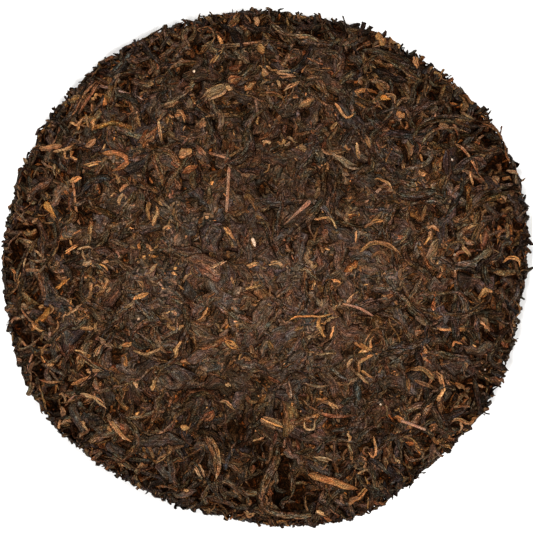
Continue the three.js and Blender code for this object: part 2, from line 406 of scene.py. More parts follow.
# Places on the plan where leaves fell out and left a dark hollow: two ends, half width and depth
HOLLOWS = [
    ((7.0, -70.0), (5.0, -87.0), 2.1, 3.6), ((-1.5, -66.0), (-4.5, -80.0), 0.8, 2.8),
    ((12.5, -78.0), (12.0, -86.0), 1.0, 2.4), ((-13.0, -59.0), (-7.5, -60.0), 1.3, 2.2),
    ((-84.0, -38.5), (-76.5, -39.5), 0.9, 2.6), ((-79.0, -51.5), (-76.0, -49.0), 1.6, 2.6),
    ((-89.5, 15.0), (-84.0, 13.5), 1.1, 2.2), ((80.0, -42.5), (84.5, -45.0), 1.5, 2.6),
    ((71.5, -45.5), (74.5, -42.5), 1.1, 2.2), ((64.0, 50.0), (68.5, 49.0), 0.9, 1.8),
    ((78.0, 50.5), (86.0, 46.5), 1.1, 2.4), ((88.5, 41.0), (91.0, 35.5), 1.2, 2.4),
    ((-93.5, 9.0), (-94.5, 3.0), 1.0, 2.2), ((-92.5, -22.0), (-88.0, -26.5), 1.1, 2.4),
    ((52.0, 82.0), (57.0, 77.5), 0.9, 2.0), ((-15.0, -82.0), (-10.0, -86.5), 1.1, 2.2),
]

# A hollow's wall, in shares of its half width. Leaves that reach deeper than CLEARED_BELOW into
# it fell out of it, all but a few narrow ones.
HOLLOW_WALL = (0.6, 1.5)
CLEARED_BELOW = 1.7
LEFT_IN_HOLLOWS = 0.15
WIDEST_LEFT = 3.0

# The rim crumbled most on one side. There its leaves stand out as ragged tips, and a few arch up.
ROUGHEST_AT = math.radians(22)
RAGGED_ALL_ROUND = 0.25
RAGGED_ON_SIDE = 0.55
RAGGED_OVER = (92, 102)
RAGGED = {"outward": 0.7, "taper": (0.03, 0.12), "blunt": 0.35, "late": 0.35, "lift": (0.1, 2.4), "low": 1.5}
ARCHED = {"share": 0.15, "lift": 0.45}

# The fringe of short tips round the rim, in mm
FRINGE = {"along": (94.5, 100.0), "length": (1.8, 6.0), "width": (0.7, 1.9), "short": 1.4, "late": 0.4}
FRINGE_SPREAD = 0.75
FRINGE_CURVE = {"bend": 0.8, "wave": 0.2, "kinked": 0.1}

# The brown that all the leaves blend into where they are pressed hardest, and the share of a
# colour as it looks in this bright room that belongs to the leaf itself
MASS_BROWN = srgb(84, 60, 43)
DULLED_OVER = (25, 92)
LEAF_SHARE = np.array([1.22, 1.44, 1.99])

# How leaves of one kind differ from each other, in lightness and from warm to cool
CAST_SPREAD = 0.1
WARMTH = np.array([0.07, 0.0, -0.11])

# Painted shade, where a leaf or the mass lies deep or a leaf's side turns away, keeps its red longest
REDDER_DARK = np.array([0.74, 1.03, 1.4])

# The leaves are a little darker in the middle of a face than at its rim
SHADE_ACROSS = (0.96, 1.02)
SHADED_FROM_TO = (10, 100)

# Patches where the leaves are paler or darker: place on the map, reach and by what share of
# their colour
TONE_PATCHES = [
    (-5, 34, 14, -0.32), (-6, -57, 18, -0.32), (-32, -66, 14, -0.22), (8, -13, 10, 0.4), (30, -4, 11, 0.2),
    (-18, -20, 12, 0.15), (28, 36, 14, -0.18), (60, 0, 14, 0.12), (-62, 40, 14, 0.1),
]

# The leaves that catch the eye lie on top, and are tidier and paler than those strewn
PLACED = {"tone": 0.6, "tidy": 0.65, "late": 1.5}

# A wide listed leaf is split into strands, which differ in girth, wander and start late.
# A short one shows none, unless it is SPLIT_FROM times as long as wide.
SPLIT_FROM = 2.6
STRAND_GIRTH = (0.8, 1.5)
STRAND_WANDER = 0.1
STRAND_START = 0.25
PATH_STEPS = 24

# What a kind of leaf has, unless it says otherwise itself. Sizes are in mm, from least to most.
#   length, short, width, thick: short above 1 crowds the short ones; thick is a share of width
#   tapers, blunt: the shares of the length that narrow to each end, and how bluntly
#   bend, wave, kinked: how its line curves, wavers and kinks
#   uneven, folds, turn, slant: how its edges, section, twist and cut ends vary
#   late: later ones lie higher
#   thinned, to_middle, within: fewer lie near the middle, more do, or none lie farther out
#   dark, light, tip, tone, tones: its colours; tone above 1 crowds the dark ones
#   dulled: how far it goes to the brown of the mass
#   ridges, contrast, creased, rough, gloss: its finish; contrast and creased also set how strong
#   the painted highlight on its ridge tops and the painted shade in its grooves, creases and folds are
#   seams: the widths from which a listed one has two strands, and three
PLAIN_LEAF = {
    "blunt": (0.4, 0.8), "late": 0, "thinned": 0, "to_middle": 1.0, "seams": (), "tones": (0, 1),
    "dulled": 0.65, "rough": 0.6, "gloss": 0.035,
}
LEAF_SHEEN = (1.0, 0.72, 0.52)
KINDS = []
heap = []


def along_line(line, share):
    """Values at shares 0 to 1 of each leaf's line, from those at its even steps"""
    where = share * LINE_STEPS
    first = np.minimum(where.astype(int), LINE_STEPS - 1)
    part = where - first
    if line.ndim == 3:
        part = part[:, None]
    return line[:, first] * (1 - part) + line[:, first + 1] * part


def plan_to_crown(points):
    """Plan places on the crown, in mm, as places on the map that is drawn along its skin"""
    points = np.array(points, float)
    radius = np.hypot(*points.T)
    angle = np.arctan2(points[:, 1], points[:, 0])
    inner = radius - outline_growth(angle, radius)
    inner = np.minimum(inner, CORE_RADIUS * 0.999)
    along = np.interp(inner, section_radius[crown_half], section_along[crown_half])
    return around(along, angle)


def hollow_depth(places):
    """How deep the hollows are at places on the crown's map"""
    depth = np.zeros(places.shape[:-1])
    for start, end, half, deep in HOLLOWS:
        start, end = plan_to_crown([start, end])
        way = end - start
        share = np.clip((places - start) @ way / (way @ way), 0, 1)
        off = np.linalg.norm(places - start - share[..., None] * way, axis=-1)
        wall = smooth_step(off, HOLLOW_WALL[0] * half, HOLLOW_WALL[1] * half)
        depth = np.maximum(depth, deep * (1 - wall))
    return depth


def draw(count, bounds, crowding=1.0):
    """Random numbers between two bounds; crowding above 1 makes the small ones more common"""
    return between(bounds[0], bounds[1], draws.random(count) ** crowding)


def curved_lines(middles, headings, lengths, bend, wave, kinked):
    """Lines of given length that bend one way all along, and waver; some have a sharp kink"""
    count = len(lengths)
    bends = draws.normal(0, bend, count)[:, None] * (LINE_SHARES - 0.5)
    waves = draws.normal(0, wave, count)[:, None] * np.sin(
        2 * np.pi * (LINE_SHARES * draw(count, WAVES_ALONG)[:, None] + draws.random(count)[:, None]))
    sharp = np.where(draws.random(count) < kinked, draws.normal(0, KINK_TURN, count), 0)[:, None]
    kinks = sharp * smooth_step(LINE_SHARES - draw(count, KINK_PLACE)[:, None], -KINK_HALF, KINK_HALF)
    turned = headings[:, None] + bends + waves + kinks
    pace = around(1, turned) * (lengths / LINE_STEPS)[:, None, None]
    line = np.cumsum((pace[:, 1:] + pace[:, :-1]) / 2, 1)
    line = np.concatenate([np.zeros((count, 1, 2)), line], 1)
    line += middles[:, None] - line[:, LINE_MIDDLE][:, None]
    return line


def patch_tone(places):
    """How much paler or darker the leaves are at places on the map"""
    shade = between(*SHADE_ACROSS, smooth_step(np.hypot(*places.T), *SHADED_FROM_TO))
    for x, y, reach, paler in TONE_PATCHES:
        off = np.hypot(places[:, 0] - x, places[:, 1] - y)
        shade = shade * (1 + paler * np.exp(-((off / reach) ** 2) / 2))
    return shade


def strewn(kind, **counts):
    """So many leaves of a kind over each face"""
    for face, count in counts.items():
        start = draws.random()
        order = (np.arange(count) + 0.5) / count
        radius = FACE_REACH[face] * order ** (0.5 * kind["to_middle"])
        spot = radius + draws.normal(0, JOLT_OUT, count)
        jolt = draws.normal(0, 1, count) * JOLT_ROUND / radius
        angle = 2 * np.pi * start + np.arange(count) * GOLDEN_ANGLE + jolt
        middles = around(spot, angle)
        headings = draws.random(count) * 2 * np.pi
        bundled = draws.random(count) < BUNDLED
        drift = summed_waves(middles, drift_ways, drift_starts, DRIFT_SWING)
        headings = np.where(bundled, drift + draws.normal(0, BUNDLE_SPREAD, count), headings)
        edge = smooth_step(spot, *NEAR_RIM)
        chance = draws.random(count)
        across = angle + np.pi / 2 + draws.normal(0, RIM_SPREAD, count)
        headings = np.where(chance < ROUND_THE_RIM * edge, across, headings)
        headings = np.where(chance > 1 - OUT_OF_THE_RIM * edge, across - np.pi / 2, headings)
        lengths = draw(count, kind["length"], kind["short"])
        lines = curved_lines(middles, headings, lengths, kind["bend"], kind["wave"], kind["kinked"])
        widths = draw(count, kind["width"], NARROW_CROWDING) * between(1, NARROWER_RIM, edge)
        stays = draws.random(count) > kind["thinned"] * (1 - smooth_step(spot, *THINNED_OVER))
        stays &= spot < kind.get("within", FACE_REACH[face])
        if face == "crown":
            left = draws.random(count) < LEFT_IN_HOLLOWS * (widths < WIDEST_LEFT)
            stays &= left | (hollow_depth(lines[:, ::5]).max(1) < CLEARED_BELOW)
        add_leaves(kind, face, lines[stays], widths[stays])


def fringed(kind, count):
    """Short broken ends that stand out of the rim all round, most of them where it is roughest"""
    angle = 2 * np.pi * (np.arange(count) + draws.random(count)) / count
    middles = around(draw(count, FRINGE["along"]), angle)
    headings = angle + draws.normal(0, FRINGE_SPREAD, count)
    lengths = draw(count, FRINGE["length"], FRINGE["short"])
    lines = curved_lines(middles, headings, lengths, **FRINGE_CURVE)
    add_leaves(kind, "crown", lines, draw(count, FRINGE["width"], NARROW_CROWDING), fringe=True)


def add_leaves(kind, face, lines, widths, placed=False, fringe=False, leaf_of=None):
    """Leaves along their lines, or the strands of leaves that share one colour"""
    count = len(lines)
    leaf_of = np.arange(count) if leaf_of is None else leaf_of
    pace = np.gradient(lines, axis=1)
    middles, reach = lines[:, LINE_MIDDLE], lines[:, -1] - lines[:, 0]
    off_middle = np.hypot(*middles.T)

    tone = draws.random(count) ** (PLACED["tone"] if placed else kind["tone"])
    tone = between(*kind["tones"], tone)[leaf_of]
    base = between(srgb(*kind["dark"]), srgb(*kind["light"]), tone[:, None])
    tips = base
    if "tip" in kind:
        tips = between(base, srgb(*kind["tip"]), draws.random(count)[:, None])
    dulled = (0 if placed else kind["dulled"]) * (1 - smooth_step(off_middle, *DULLED_OVER))[:, None]
    cast = 1 + draws.normal(0, CAST_SPREAD, (count, 1)) + WARMTH * draws.normal(0, 1, (count, 1))
    cast = cast[leaf_of] if placed else cast[leaf_of] * patch_tone(middles)[:, None]

    turned = np.arctan2(middles[:, 1], middles[:, 0])
    rough = np.clip(np.cos(turned - ROUGHEST_AT), 0, 1) ** 2
    rough = RAGGED_ALL_ROUND + RAGGED_ON_SIDE * rough
    outward = np.abs(np.cos(np.arctan2(reach[:, 1], reach[:, 0]) - turned)) > RAGGED["outward"]
    ragged = draws.random(count) < rough * smooth_step(off_middle, *RAGGED_OVER)
    ragged &= (face == "crown") & (not placed)
    arched = ragged & (draws.random(count) < ARCHED["share"]) & ~outward
    ragged = (ragged & outward) | arched | fringe
    tapers = np.stack([draw(count, bounds) for bounds in kind["tapers"]], -1)
    tapers[ragged, 1] = draw(ragged.sum(), RAGGED["taper"])
    tidy = PLACED["tidy"] if placed else 1.0
    heap.append({
        "kind": np.full(count, kind["index"]),
        "face": np.full(count, face),
        "line": lines,
        "heading": np.unwrap(np.arctan2(pace[..., 1], pace[..., 0]), axis=1),
        "length": np.hypot(pace[..., 0], pace[..., 1]).sum(1),
        "width": widths,
        "thick": widths * draw(count, kind["thick"]),
        "tapers": tapers,
        "blunt": np.where(ragged, RAGGED["blunt"], draw(count, kind["blunt"])),
        "wobble": np.stack([tidy * draw(count, (0.0, kind["uneven"])), draw(count, (1, 3)),
                            draws.random(count) * ANY_START], -1),
        "folds": tidy * np.stack([draw(count, (0.1, kind["folds"])), draws.random(count) * ANY_START,
                                  draw(count, (0, kind["folds"])), draws.random(count) * ANY_START], -1),
        "turn": tidy * draws.normal(0, kind["turn"], count),
        "slant": draws.normal(0, kind["slant"], (count, 2)),
        "base": between(base, MASS_BROWN, dulled) * cast * LEAF_SHARE,
        "tip": between(tips, MASS_BROWN, dulled) * cast * LEAF_SHARE,
        "lift": (np.where(ragged, draw(count, RAGGED["lift"], RAGGED["low"]), 0)
                 * np.where(arched, ARCHED["lift"], 0.5 + rough)),
        "arched": arched,
        "late": (np.where(ragged, RAGGED["late"], 0)
                 + (PLACED["late"] if placed else FRINGE["late"] * fringe) + kind["late"]),
        "placed": np.full(count, placed),
    })


def points_at(where, run, line):
    """Points of a line at some distances along it"""
    return np.stack([np.interp(where, run, part) for part in line.T], -1)


def smooth_path(points):
    """An even line through a few points, rounded at each"""
    knots = plan_to_crown(points)
    if len(knots) == 2:
        knots = np.array([knots[0], knots.mean(0), knots[1]])
    ends = [2 * knots[0] - knots[1]], knots, [2 * knots[-1] - knots[-2]]
    knots = np.concatenate(ends)
    fine = []
    for a, b, c, d in zip(knots, knots[1:], knots[2:], knots[3:]):
        t = np.linspace(0, 1, PATH_STEPS, endpoint=False)[:, None]
        fine.append(0.5 * (2 * b + (c - a) * t + (2 * a - 5 * b + 4 * c - d) * t ** 2
                           + (3 * b - a - 3 * c + d) * t ** 3))
    fine = np.concatenate([*fine, knots[-2:-1]])
    run = np.concatenate([[0], np.cumsum(np.hypot(*np.diff(fine, axis=0).T))])
    return points_at(np.linspace(0, run[-1], LINE_STEPS + 1), run, fine)


def strands_of(path, width, parts):
    """The strands of a rolled leaf, side by side with seams between them and joined at its ends"""
    pace = np.gradient(path, axis=0)
    side = np.stack([pace[:, 1], -pace[:, 0]], -1) / np.hypot(*pace.T)[:, None]
    together = np.sin(np.pi * LINE_SHARES) ** 0.5
    strands = []
    for part in range(parts):
        off = width * ((part + 0.5) / parts - 0.5) * together
        waves = 2 * np.pi * (LINE_SHARES * draw(1, WAVES_ALONG) + draws.random())
        off = off + STRAND_WANDER * width * np.sin(waves)
        start, end = STRAND_START * draws.random(), 1 - STRAND_START * draws.random()
        strand = path + off[:, None] * side
        strands.append(points_at(np.linspace(start, end, LINE_STEPS + 1), LINE_SHARES, strand))
    return strands


def laid_by_hand(kind, pieces, **differences):
    """The leaves that catch the eye, each by its width and its points on the plan, in mm"""
    kind = {**kind, **differences}
    lines, widths, leaf_of = [], [], []
    for number, (width, *points) in enumerate(pieces):
        path = smooth_path(points)
        long_enough = np.hypot(*np.diff(path, axis=0).T).sum() > SPLIT_FROM * width
        parts = 1 + sum(width > seam for seam in kind["seams"] if long_enough)
        lines += [path] if parts == 1 else strands_of(path, width, parts)
        widths += list(width / parts * draw(parts, STRAND_GIRTH if parts > 1 else (1, 1)))
        leaf_of += [number] * parts
    add_leaves(kind, "crown", np.array(lines), np.array(widths), placed=True, leaf_of=np.array(leaf_of))


def leaf_finish(name, kind):
    """Dried leaf: ridges and finer fibres run along it, with creases between them where it folded,
    and it puckered across as it dried. The ridge tops carry painted highlight, the grooves, creases and
    folds painted shade, and stains leave some stretches warmer, greyer, redder or more olive."""
    ridges, creased = kind["ridges"], kind["creased"]

    def pulled(*parts):
        return 1 + kind["contrast"] * np.array(parts)

    finish = Finish(name, Specular_IOR_Level=kind["gloss"], Specular_Tint=LEAF_SHEEN)
    tint, grain, place = finish.painted("tint"), finish.mapped("grain"), finish.place()
    wavy = grain.moved(grain.noise(0.35, 1.0, 0.5, "Color"), 1.0)
    lengthwise = wavy.times((ridges * 1.25, ridges * 0.09, 1))
    ridged = lengthwise.noise(1.0).between(0.42, 0.58)
    creases = lengthwise.lines(2.2, 0.07)
    fibres = lengthwise.noise(2.5, 2.0, 0.6).between(0.41, 0.59)
    puckers = wavy.times((ridges * 1.1, ridges * 1.6, 1)).noise(1.0, 3.0, 0.65).between(0.38, 0.62)
    folds = wavy.times((ridges * 0.6, ridges * 0.8, 1)).lines(0.8, 0.05)
    stain = grain.times((0.9, 0.4, 1)).noise(1.0, 3.0, 0.65).between(0.37, 0.63)
    olive = grain.times((0.35, 0.15, 1)).noise(1.0, 3.0, 0.6).between(0.37, 0.63)
    cloud = place.noise(60.0)
    specks = place.noise(2000.0, 1.0).between(0.42, 0.58)

    # Painted highlight and shade: the colour goes paler on the ridge tops of the relief and darker in its
    # grooves
    crest = 0.4 * ridged + 0.4 * fibres + 0.2 * puckers
    crest = (crest - 0.5) * 1.4 + 0.5
    hollows, crests = tint.times(pulled(-0.4, -0.48, -0.54)), tint.times(pulled(0.58, 0.56, 0.48))
    cool, warm = pulled(-0.15, 0.03, 0.18), pulled(0.18, -0.03, -0.24)
    reddish, greenish = pulled(0.07, -0.05, -0.06), pulled(-0.05, 0.11, -0.05)
    # Painted shade: darker along the creases and the fold lines, where the relief has grooves
    dark = np.maximum(0, 1 - creased * np.array([0.85, 1.0, 1.12]))
    colour = crest.mixed(hollows, crests).times(stain.mixed(cool, warm))
    colour = colour.times(olive.mixed(reddish, greenish)).times(creases.mixed(dark, (1, 1, 1)))
    lit = 0.8 + 0.4 * cloud + 0.85 * kind["contrast"] * (specks - 0.5)
    height = ridged * 0.6 + fibres * 0.15 + puckers * 0.6 + creases * 0.6 + folds * 0.4
    return finish.shows(
        Base_Color=colour.dimmed(lit * (1 - 0.3 * creased * (1 - folds))),
        Roughness=kind["rough"] + 0.2 * (puckers - 0.5) + 0.15 * (fibres - 0.5),
        Normal=finish.bumped(height, 0.0008, 1.0),
    )


def leaf_kind(name, finish, like=PLAIN_LEAF, **facts):
    """A kind of leaf: the facts it shares with another kind, and its own"""
    kind = {**like, **facts, "name": name, "index": len(KINDS)}
    kind["material"] = leaf_finish(finish, kind)
    KINDS.append(kind)
    return kind


# ==== Black rolled leaves ====
# The older leaves of each pick, rolled and twisted by hand and fermented nearly black. They are
# the thickest pieces, and most of what shows round the rim.

black_roll = leaf_kind(
    "black_rolled_leaves", "black_rolled_leaf", length=(9, 24), short=1.4, width=(1.6, 3.4),
    thick=(0.5, 0.8), tapers=((0.04, 0.2), (0.06, 0.35)), bend=1.0, wave=0.25, kinked=0.3,
    uneven=0.28, folds=0.42, turn=2.6, slant=0.7, late=0.25, thinned=0.75, seams=(1.6, 2.8),
    dark=(38, 27, 20), light=(72, 53, 39), tone=1.1, ridges=0.85, contrast=1.3, creased=0.85, gloss=0.04,
)
strewn(black_roll, crown=800, underside=320)
laid_by_hand(black_roll, [
    (2.6, (-67.5, -53.5), (-60.5, -55.5)), (2.2, (-76.5, 55), (-72.5, 48.5)),
    (2.2, (-28.5, -76.5), (-26.5, -72), (-22.5, -78.5)),
    (2.2, (-90, 40.5), (-91.5, 33), (-93, 27.5)), (1.9, (-94, 23.5), (-95.5, 16)),
    (2.2, (-96.5, 2.5), (-96.5, -4.5), (-96, -11.5)),
    (1.5, (-67.5, -53), (-63.5, -55.5), (-60.5, -55)),
    (2.6, (31, 79.5), (38.5, 80), (48, 78), (55.5, 73)),
    (2.0, (35.5, 74.5), (41, 78), (49.5, 75), (55.5, 70), (61.5, 69)),
    (1.9, (10.5, 33.5), (15.5, 40.5), (20, 47.5)),
    (1.4, (54, 47), (57, 52.5), (66, 54.5), (76, 52)),
    (1.4, (55.5, 50), (59, 54.5), (68, 56.5), (76, 55)),
])
laid_by_hand(black_roll, [
    (3.2, (4.5, -65), (3.5, -71), (-0.5, -78), (-2, -84), (0, -89), (6, -91.5)),
    (2.8, (-1, -88), (6, -91), (13, -91.5), (17, -90.5)),
    (1.1, (8.5, -71.5), (10.5, -80), (8.5, -85.5)), (1.3, (6, -89), (6.5, -86), (11, -86)),
], seams=(), tones=(0.75, 1.0), light=(86, 62, 43))


# ==== Black leaf shreds ====
# The same old leaves, broken short when they were rolled and when the heap was turned. They lie
# between the rolled ones, and a fringe of them stands out of the rim.

SHREDDED = {
    "short": 1.3, "thick": (0.45, 0.7), "tapers": ((0.04, 0.25), (0.06, 0.4)), "uneven": 0.3,
    "turn": 2.0, "slant": 0.8, "late": -0.1, "thinned": 0.6,
}
black_shred = leaf_kind(
    "black_leaf_shreds", "black_leaf_shred", {**black_roll, **SHREDDED}, length=(4, 13),
    width=(1.2, 2.7), light=(76, 56, 41), ridges=0.9,
)
strewn(black_shred, crown=1150, underside=1000)
fringed({**black_shred, "tones": (0.0, 0.5)}, 460)


# ==== Brown rolled leaves ====
# Younger leaves, rolled thinner. They dry to a mid brown, paler towards one end.

brown_roll = leaf_kind(
    "brown_rolled_leaves", "brown_rolled_leaf", black_roll, length=(7, 19), width=(1.3, 2.9),
    thick=(0.45, 0.7), bend=1.1, wave=0.28, kinked=0.35, uneven=0.3, late=0.2, thinned=0.6,
    seams=(1.4, 2.3), dark=(66, 47, 33), light=(112, 78, 50), tip=(132, 90, 55), tone=2.0,
    ridges=0.9, contrast=1.1, creased=0.75, gloss=0.035,
)
strewn(brown_roll, crown=700, underside=420)
laid_by_hand(brown_roll, [
    (2.8, (-42, 45.5), (-40, 38), (-38, 30)), (1.2, (-47.5, 34), (-45, 31), (-39.5, 28)),
    (2.0, (-40.5, 44), (-35, 42.5), (-31.5, 37)), (2.0, (-70.5, -30), (-64, -35.5), (-58, -38.5)),
    (1.3, (51, -67), (52.5, -70.5), (57, -70.5), (58, -68), (55.5, -66)),
    (1.8, (-15.5, 12), (-11, 6.5)), (1.9, (-76.5, 60.5), (-73.5, 62), (-67.5, 63.5)),
    (1.5, (-62.5, -1), (-59.5, -1.5)), (1.5, (-62.5, -3), (-59, -7)),
    (1.1, (-93, -28.5), (-90.5, -30), (-85.5, -27.5), (-83, -25)),
    (1.1, (-84, -43), (-82.5, -47), (-81, -52.5), (-80, -55)),
    (2.2, (-89.5, 14.5), (-87, 13), (-85, 15)), (2.6, (-15, 87.5), (-9.5, 94)),
    (1.8, (0.5, 92), (6, 87), (12, 85.5), (18, 85), (21, 81)),
    (1.6, (-24.5, 82), (-13.5, 82), (1.5, 84)), (1.5, (-6, 64), (4.5, 64), (7.5, 59.5)),
    (1.2, (-13.5, 41), (-8, 44.5)), (1.9, (8, -40), (9, -49)),
    (3.2, (-24.5, -58.5), (-21, -63.5), (-18, -71), (-18, -78.5)), (2.2, (68.5, 70), (78.5, 59)),
    (1.8, (78.5, 55), (84.5, 51.5), (88, 47.5), (89, 44.5), (90.5, 39)),
    (1.2, (57, 45), (61, 50.5), (68, 52), (75, 50)), (2.0, (37, 69), (42.5, 68.5), (45.5, 65.5)),
])


# ==== Brown leaf shreds ====
# Younger leaves, broken short in the same way. They are pressed in between the rolled ones, and
# some stand out of the rim.

brown_shred = leaf_kind(
    "brown_leaf_shreds", "brown_leaf_shred", {**brown_roll, **SHREDDED}, length=(3.5, 11),
    width=(0.9, 2.3), ridges=1.0,
)
strewn(brown_shred, crown=1150, underside=1000)
fringed(brown_shred, 170)


# ==== Flat leaf fragments ====
# Broken blades of larger leaves that were never rolled tight: thin, wide and pressed flat, most
# of them on the two faces.

flat_leaf = leaf_kind(
    "flat_leaf_fragments", "flat_leaf", length=(6, 15), short=1.3, width=(2.2, 5.0), thick=(0.16, 0.3),
    tapers=((0.08, 0.4), (0.1, 0.5)), blunt=(0.3, 0.6), bend=0.6, wave=0.25, kinked=0.3,
    uneven=0.55, folds=0.22, turn=0.8, slant=0.9, late=0.12, to_middle=1.15, within=96.0,
    dark=(50, 37, 28), light=(88, 63, 46), tone=1.2, ridges=0.8, contrast=1.0, creased=0.45, gloss=0.04,
)
strewn(flat_leaf, crown=650, underside=420)
laid_by_hand(flat_leaf, [
    (5.4, (-47.5, -64.5), (-38, -63), (-29.5, -64.5)), (3.6, (-11, -34), (-7, -35.5), (-3, -35)),
    (4.2, (-38, -39.5), (-34.5, -43.5), (-31, -41.5)), (5.0, (-11, 80.5), (-6, 76)),
    (6.0, (-30.5, 70), (-24, 71.5), (-17, 71)),
], thick=(0.05, 0.09))
laid_by_hand(
    flat_leaf, [(6.6, (9.5, -60), (9.3, -55), (8.5, -49.5))], thick=(0.07, 0.1), uneven=0.4, folds=0.3,
    tapers=((0.03, 0.04), (0.05, 0.07)), blunt=(0.9, 0.95), light=(104, 74, 48), tones=(0.9, 1.0),
)


# ==== Broad pressed leaves ====
# Whole leaves that opened flat when they were steamed. The stone pressed them into the faces,
# where they cover what lies below and show their veins.

broad_leaf = leaf_kind(
    "broad_pressed_leaves", "broad_leaf", flat_leaf, length=(8, 18), short=1.2, width=(4.0, 8.5),
    thick=(0.06, 0.1), tapers=((0.1, 0.5), (0.15, 0.6)), blunt=(0.4, 0.7), kinked=0.2, uneven=0.65,
    folds=0.2, turn=0.5, slant=1.0, late=0.25, to_middle=1.35, within=84.0,
    dark=(46, 35, 28), light=(80, 57, 42), tip=(84, 55, 42), contrast=0.9,
)
strewn(broad_leaf, crown=400, underside=200)
laid_by_hand(
    broad_leaf, [(8.5, (-28, 2.5), (-22, 1.5), (-16.5, -2.5))], thick=(0.03, 0.04), uneven=0.9,
    dark=(92, 60, 42), light=(98, 64, 44),
)


# ==== Reddish leaves ====
# Leaves that browned before they were fermented keep a red-brown colour. They are pressed in all
# over the cake, loosely rolled or torn.

red_leaf = leaf_kind(
    "red_brown_leaves", "red_brown_leaf", length=(4, 14), short=1.5, width=(1.1, 2.6), thick=(0.35, 0.6),
    tapers=((0.05, 0.35), (0.1, 0.5)), blunt=(0.4, 0.9), bend=0.8, wave=0.25, kinked=0.3,
    uneven=0.4, folds=0.32, turn=1.6, slant=0.7, thinned=0.5, seams=(1.5, 3.2),
    dark=(84, 51, 34), light=(126, 77, 46), tone=1.3, dulled=0.5, ridges=0.8, contrast=1.0, creased=0.5,
)
strewn(red_leaf, crown=560, underside=350)
laid_by_hand(red_leaf, [
    (4.2, (-47.5, 43.5), (-43.5, 48.5), (-40, 52.5)), (3.4, (-72, 55), (-66, 63.5), (-60.5, 70.5)),
    (1.1, (-79.5, 20), (-77.5, 17.5)), (1.1, (-70.5, -31), (-63.5, -34.5), (-57, -37.5)),
    (1.1, (-77, -26.5), (-75.5, -30), (-74, -32.5)), (1.1, (-83, -32), (-81.5, -35)),
    (1.1, (-80, -37.5), (-76.5, -41.5)), (1.1, (-84, -41), (-79.5, -42), (-75, -41.5)),
    (1.1, (-90, 16.5), (-87.5, 16.5)), (2.6, (29.5, -1.5), (31.5, 0.5), (34, 2.5)),
    (3.0, (-24.5, -57), (-18.5, -52)), (1.5, (15.5, -50.5), (23, -54), (33.5, -54)),
    (4.0, (-14, 69), (-9, 70)), (2.6, (-8, 65.5), (-3.5, 68.5)),
    (0.9, (9, 78), (9.5, 80.5), (12, 80.5), (12.5, 78.5), (10.5, 77.5), (6.5, 76)),
    (0.9, (15, 77.5), (21, 75)), (1.6, (-26, 45.5), (-21.5, 40.5)),
    (2.0, (-35.5, 40.5), (-31, 36.5)), (3.0, (-31, 35), (-25, 38)), (2.4, (40, 49), (46.5, 52)),
    (1.2, (69.5, 46), (74, 43), (78.5, 34.5)),
])


# ==== Tan strips ====
# Strips of thin young leaf that dry to a dull olive tan. They are pressed in among the others, a
# few more of them near the middle of a face.

tan_strip = leaf_kind(
    "tan_leaf_strips", "tan_leaf", red_leaf, length=(4, 12), short=1.4, width=(1.2, 2.5), bend=1.0,
    wave=0.28, kinked=0.35, folds=0.3, turn=1.8, thinned=0.35, to_middle=1.15, seams=(1.4, 2.4),
    dark=(92, 66, 43), light=(150, 102, 62), dulled=0.4, ridges=1.0, contrast=0.75, creased=0.35, rough=0.65,
)
strewn(tan_strip, crown=600, underside=330)
laid_by_hand(tan_strip, [
    (2.0, (-38, 59), (-31.5, 62)), (2.2, (-20, 60), (-16.5, 56), (-18, 48.5)),
    (2.2, (21, 44), (27, 40.5), (31.5, 37.5), (38, 37.5)), (2.6, (75.5, 9.5), (80, 17.5)),
    (2.6, (59, 3), (63.5, 11)), (2.0, (-63, -24.5), (-54.5, -30.5)),
    (1.7, (52.5, -37.5), (58, -37), (62.5, -41.5)), (1.5, (54, -40.5), (62.5, -44.5)),
    (1.5, (52, -39.5), (52.5, -46.5)), (2.6, (-15.5, -26), (-9.5, -30)),
    (1.8, (0.5, -25.5), (3, -31.5)), (1.8, (30.5, -87.5), (37.5, -80.5), (36.5, -76)),
    (2.2, (-66, 44.5), (-64.5, 46), (-62.5, 47.5)), (0.9, (-64.5, 61), (-64, 58)),
    (1.2, (-83, 40), (-81, 38), (-78, 37)), (0.9, (-94, -23.5), (-93.5, -26.5), (-92.5, -29)),
    (1.7, (-75.5, -50.5), (-75, -53), (-74, -56)),
    (0.9, (-76.5, -47), (-75.5, -46), (-74, -48), (-74.5, -50)), (1.9, (-58.5, -58), (-57, -60)),
    (1.1, (-67.5, 7), (-67, 4.5), (-66, 2.5)), (1.9, (-67.5, 1.5), (-64, 2.5)),
    (1.9, (-64.5, -5), (-64.5, -8.5)), (1.1, (-83.5, -1.5), (-81, 1.5)),
    (1.1, (-63, -20), (-62.5, -23)), (0.9, (-64, -34), (-62.5, -30), (-59.5, -27.5)),
    (0.8, (-86.5, 33), (-83.5, 37.5), (-81, 35.5), (-80, 31)), (1.1, (-92, 29), (-91.5, 25.5)),
    (4.4, (-23.5, 61), (-19, 64.5), (-14, 68)), (3.4, (-3.5, -55), (2, -57), (7, -58.5)),
    (1.9, (17, -69.5), (25, -71)), (1.1, (13.5, -42), (19.5, -43.5), (24.5, -42.5)),
    (3.0, (-3, 82), (-0.5, 79.5)), (3.0, (3.5, 71.5), (12, 71.5)), (3.4, (12, 59.5), (18, 62.5)),
    (2.6, (12, 44.5), (15, 44)), (1.5, (20, 44.5), (23.5, 42.5), (31, 44)),
    (3.4, (-32, 41), (-27.5, 44)), (1.8, (71, 59), (77, 53.5)), (2.0, (83, 35), (87, 30.5)),
    (1.6, (61, 73), (64, 71.5), (63, 68.5)), (3.0, (30.5, -86.5), (34, -84.5)),
])
laid_by_hand(
    tan_strip, [(3.0, (15.5, -75.5), (24.8, -78.5), (34, -81.5))], seams=(), uneven=0.3,
    blunt=(0.5, 0.7), light=(142, 94, 59), tones=(0.85, 1.0),
)


# ==== Golden buds and tips ====
# The unopened buds and the tips of shoots, downy and slender. Fermenting turns their down from
# silver to gold and orange.

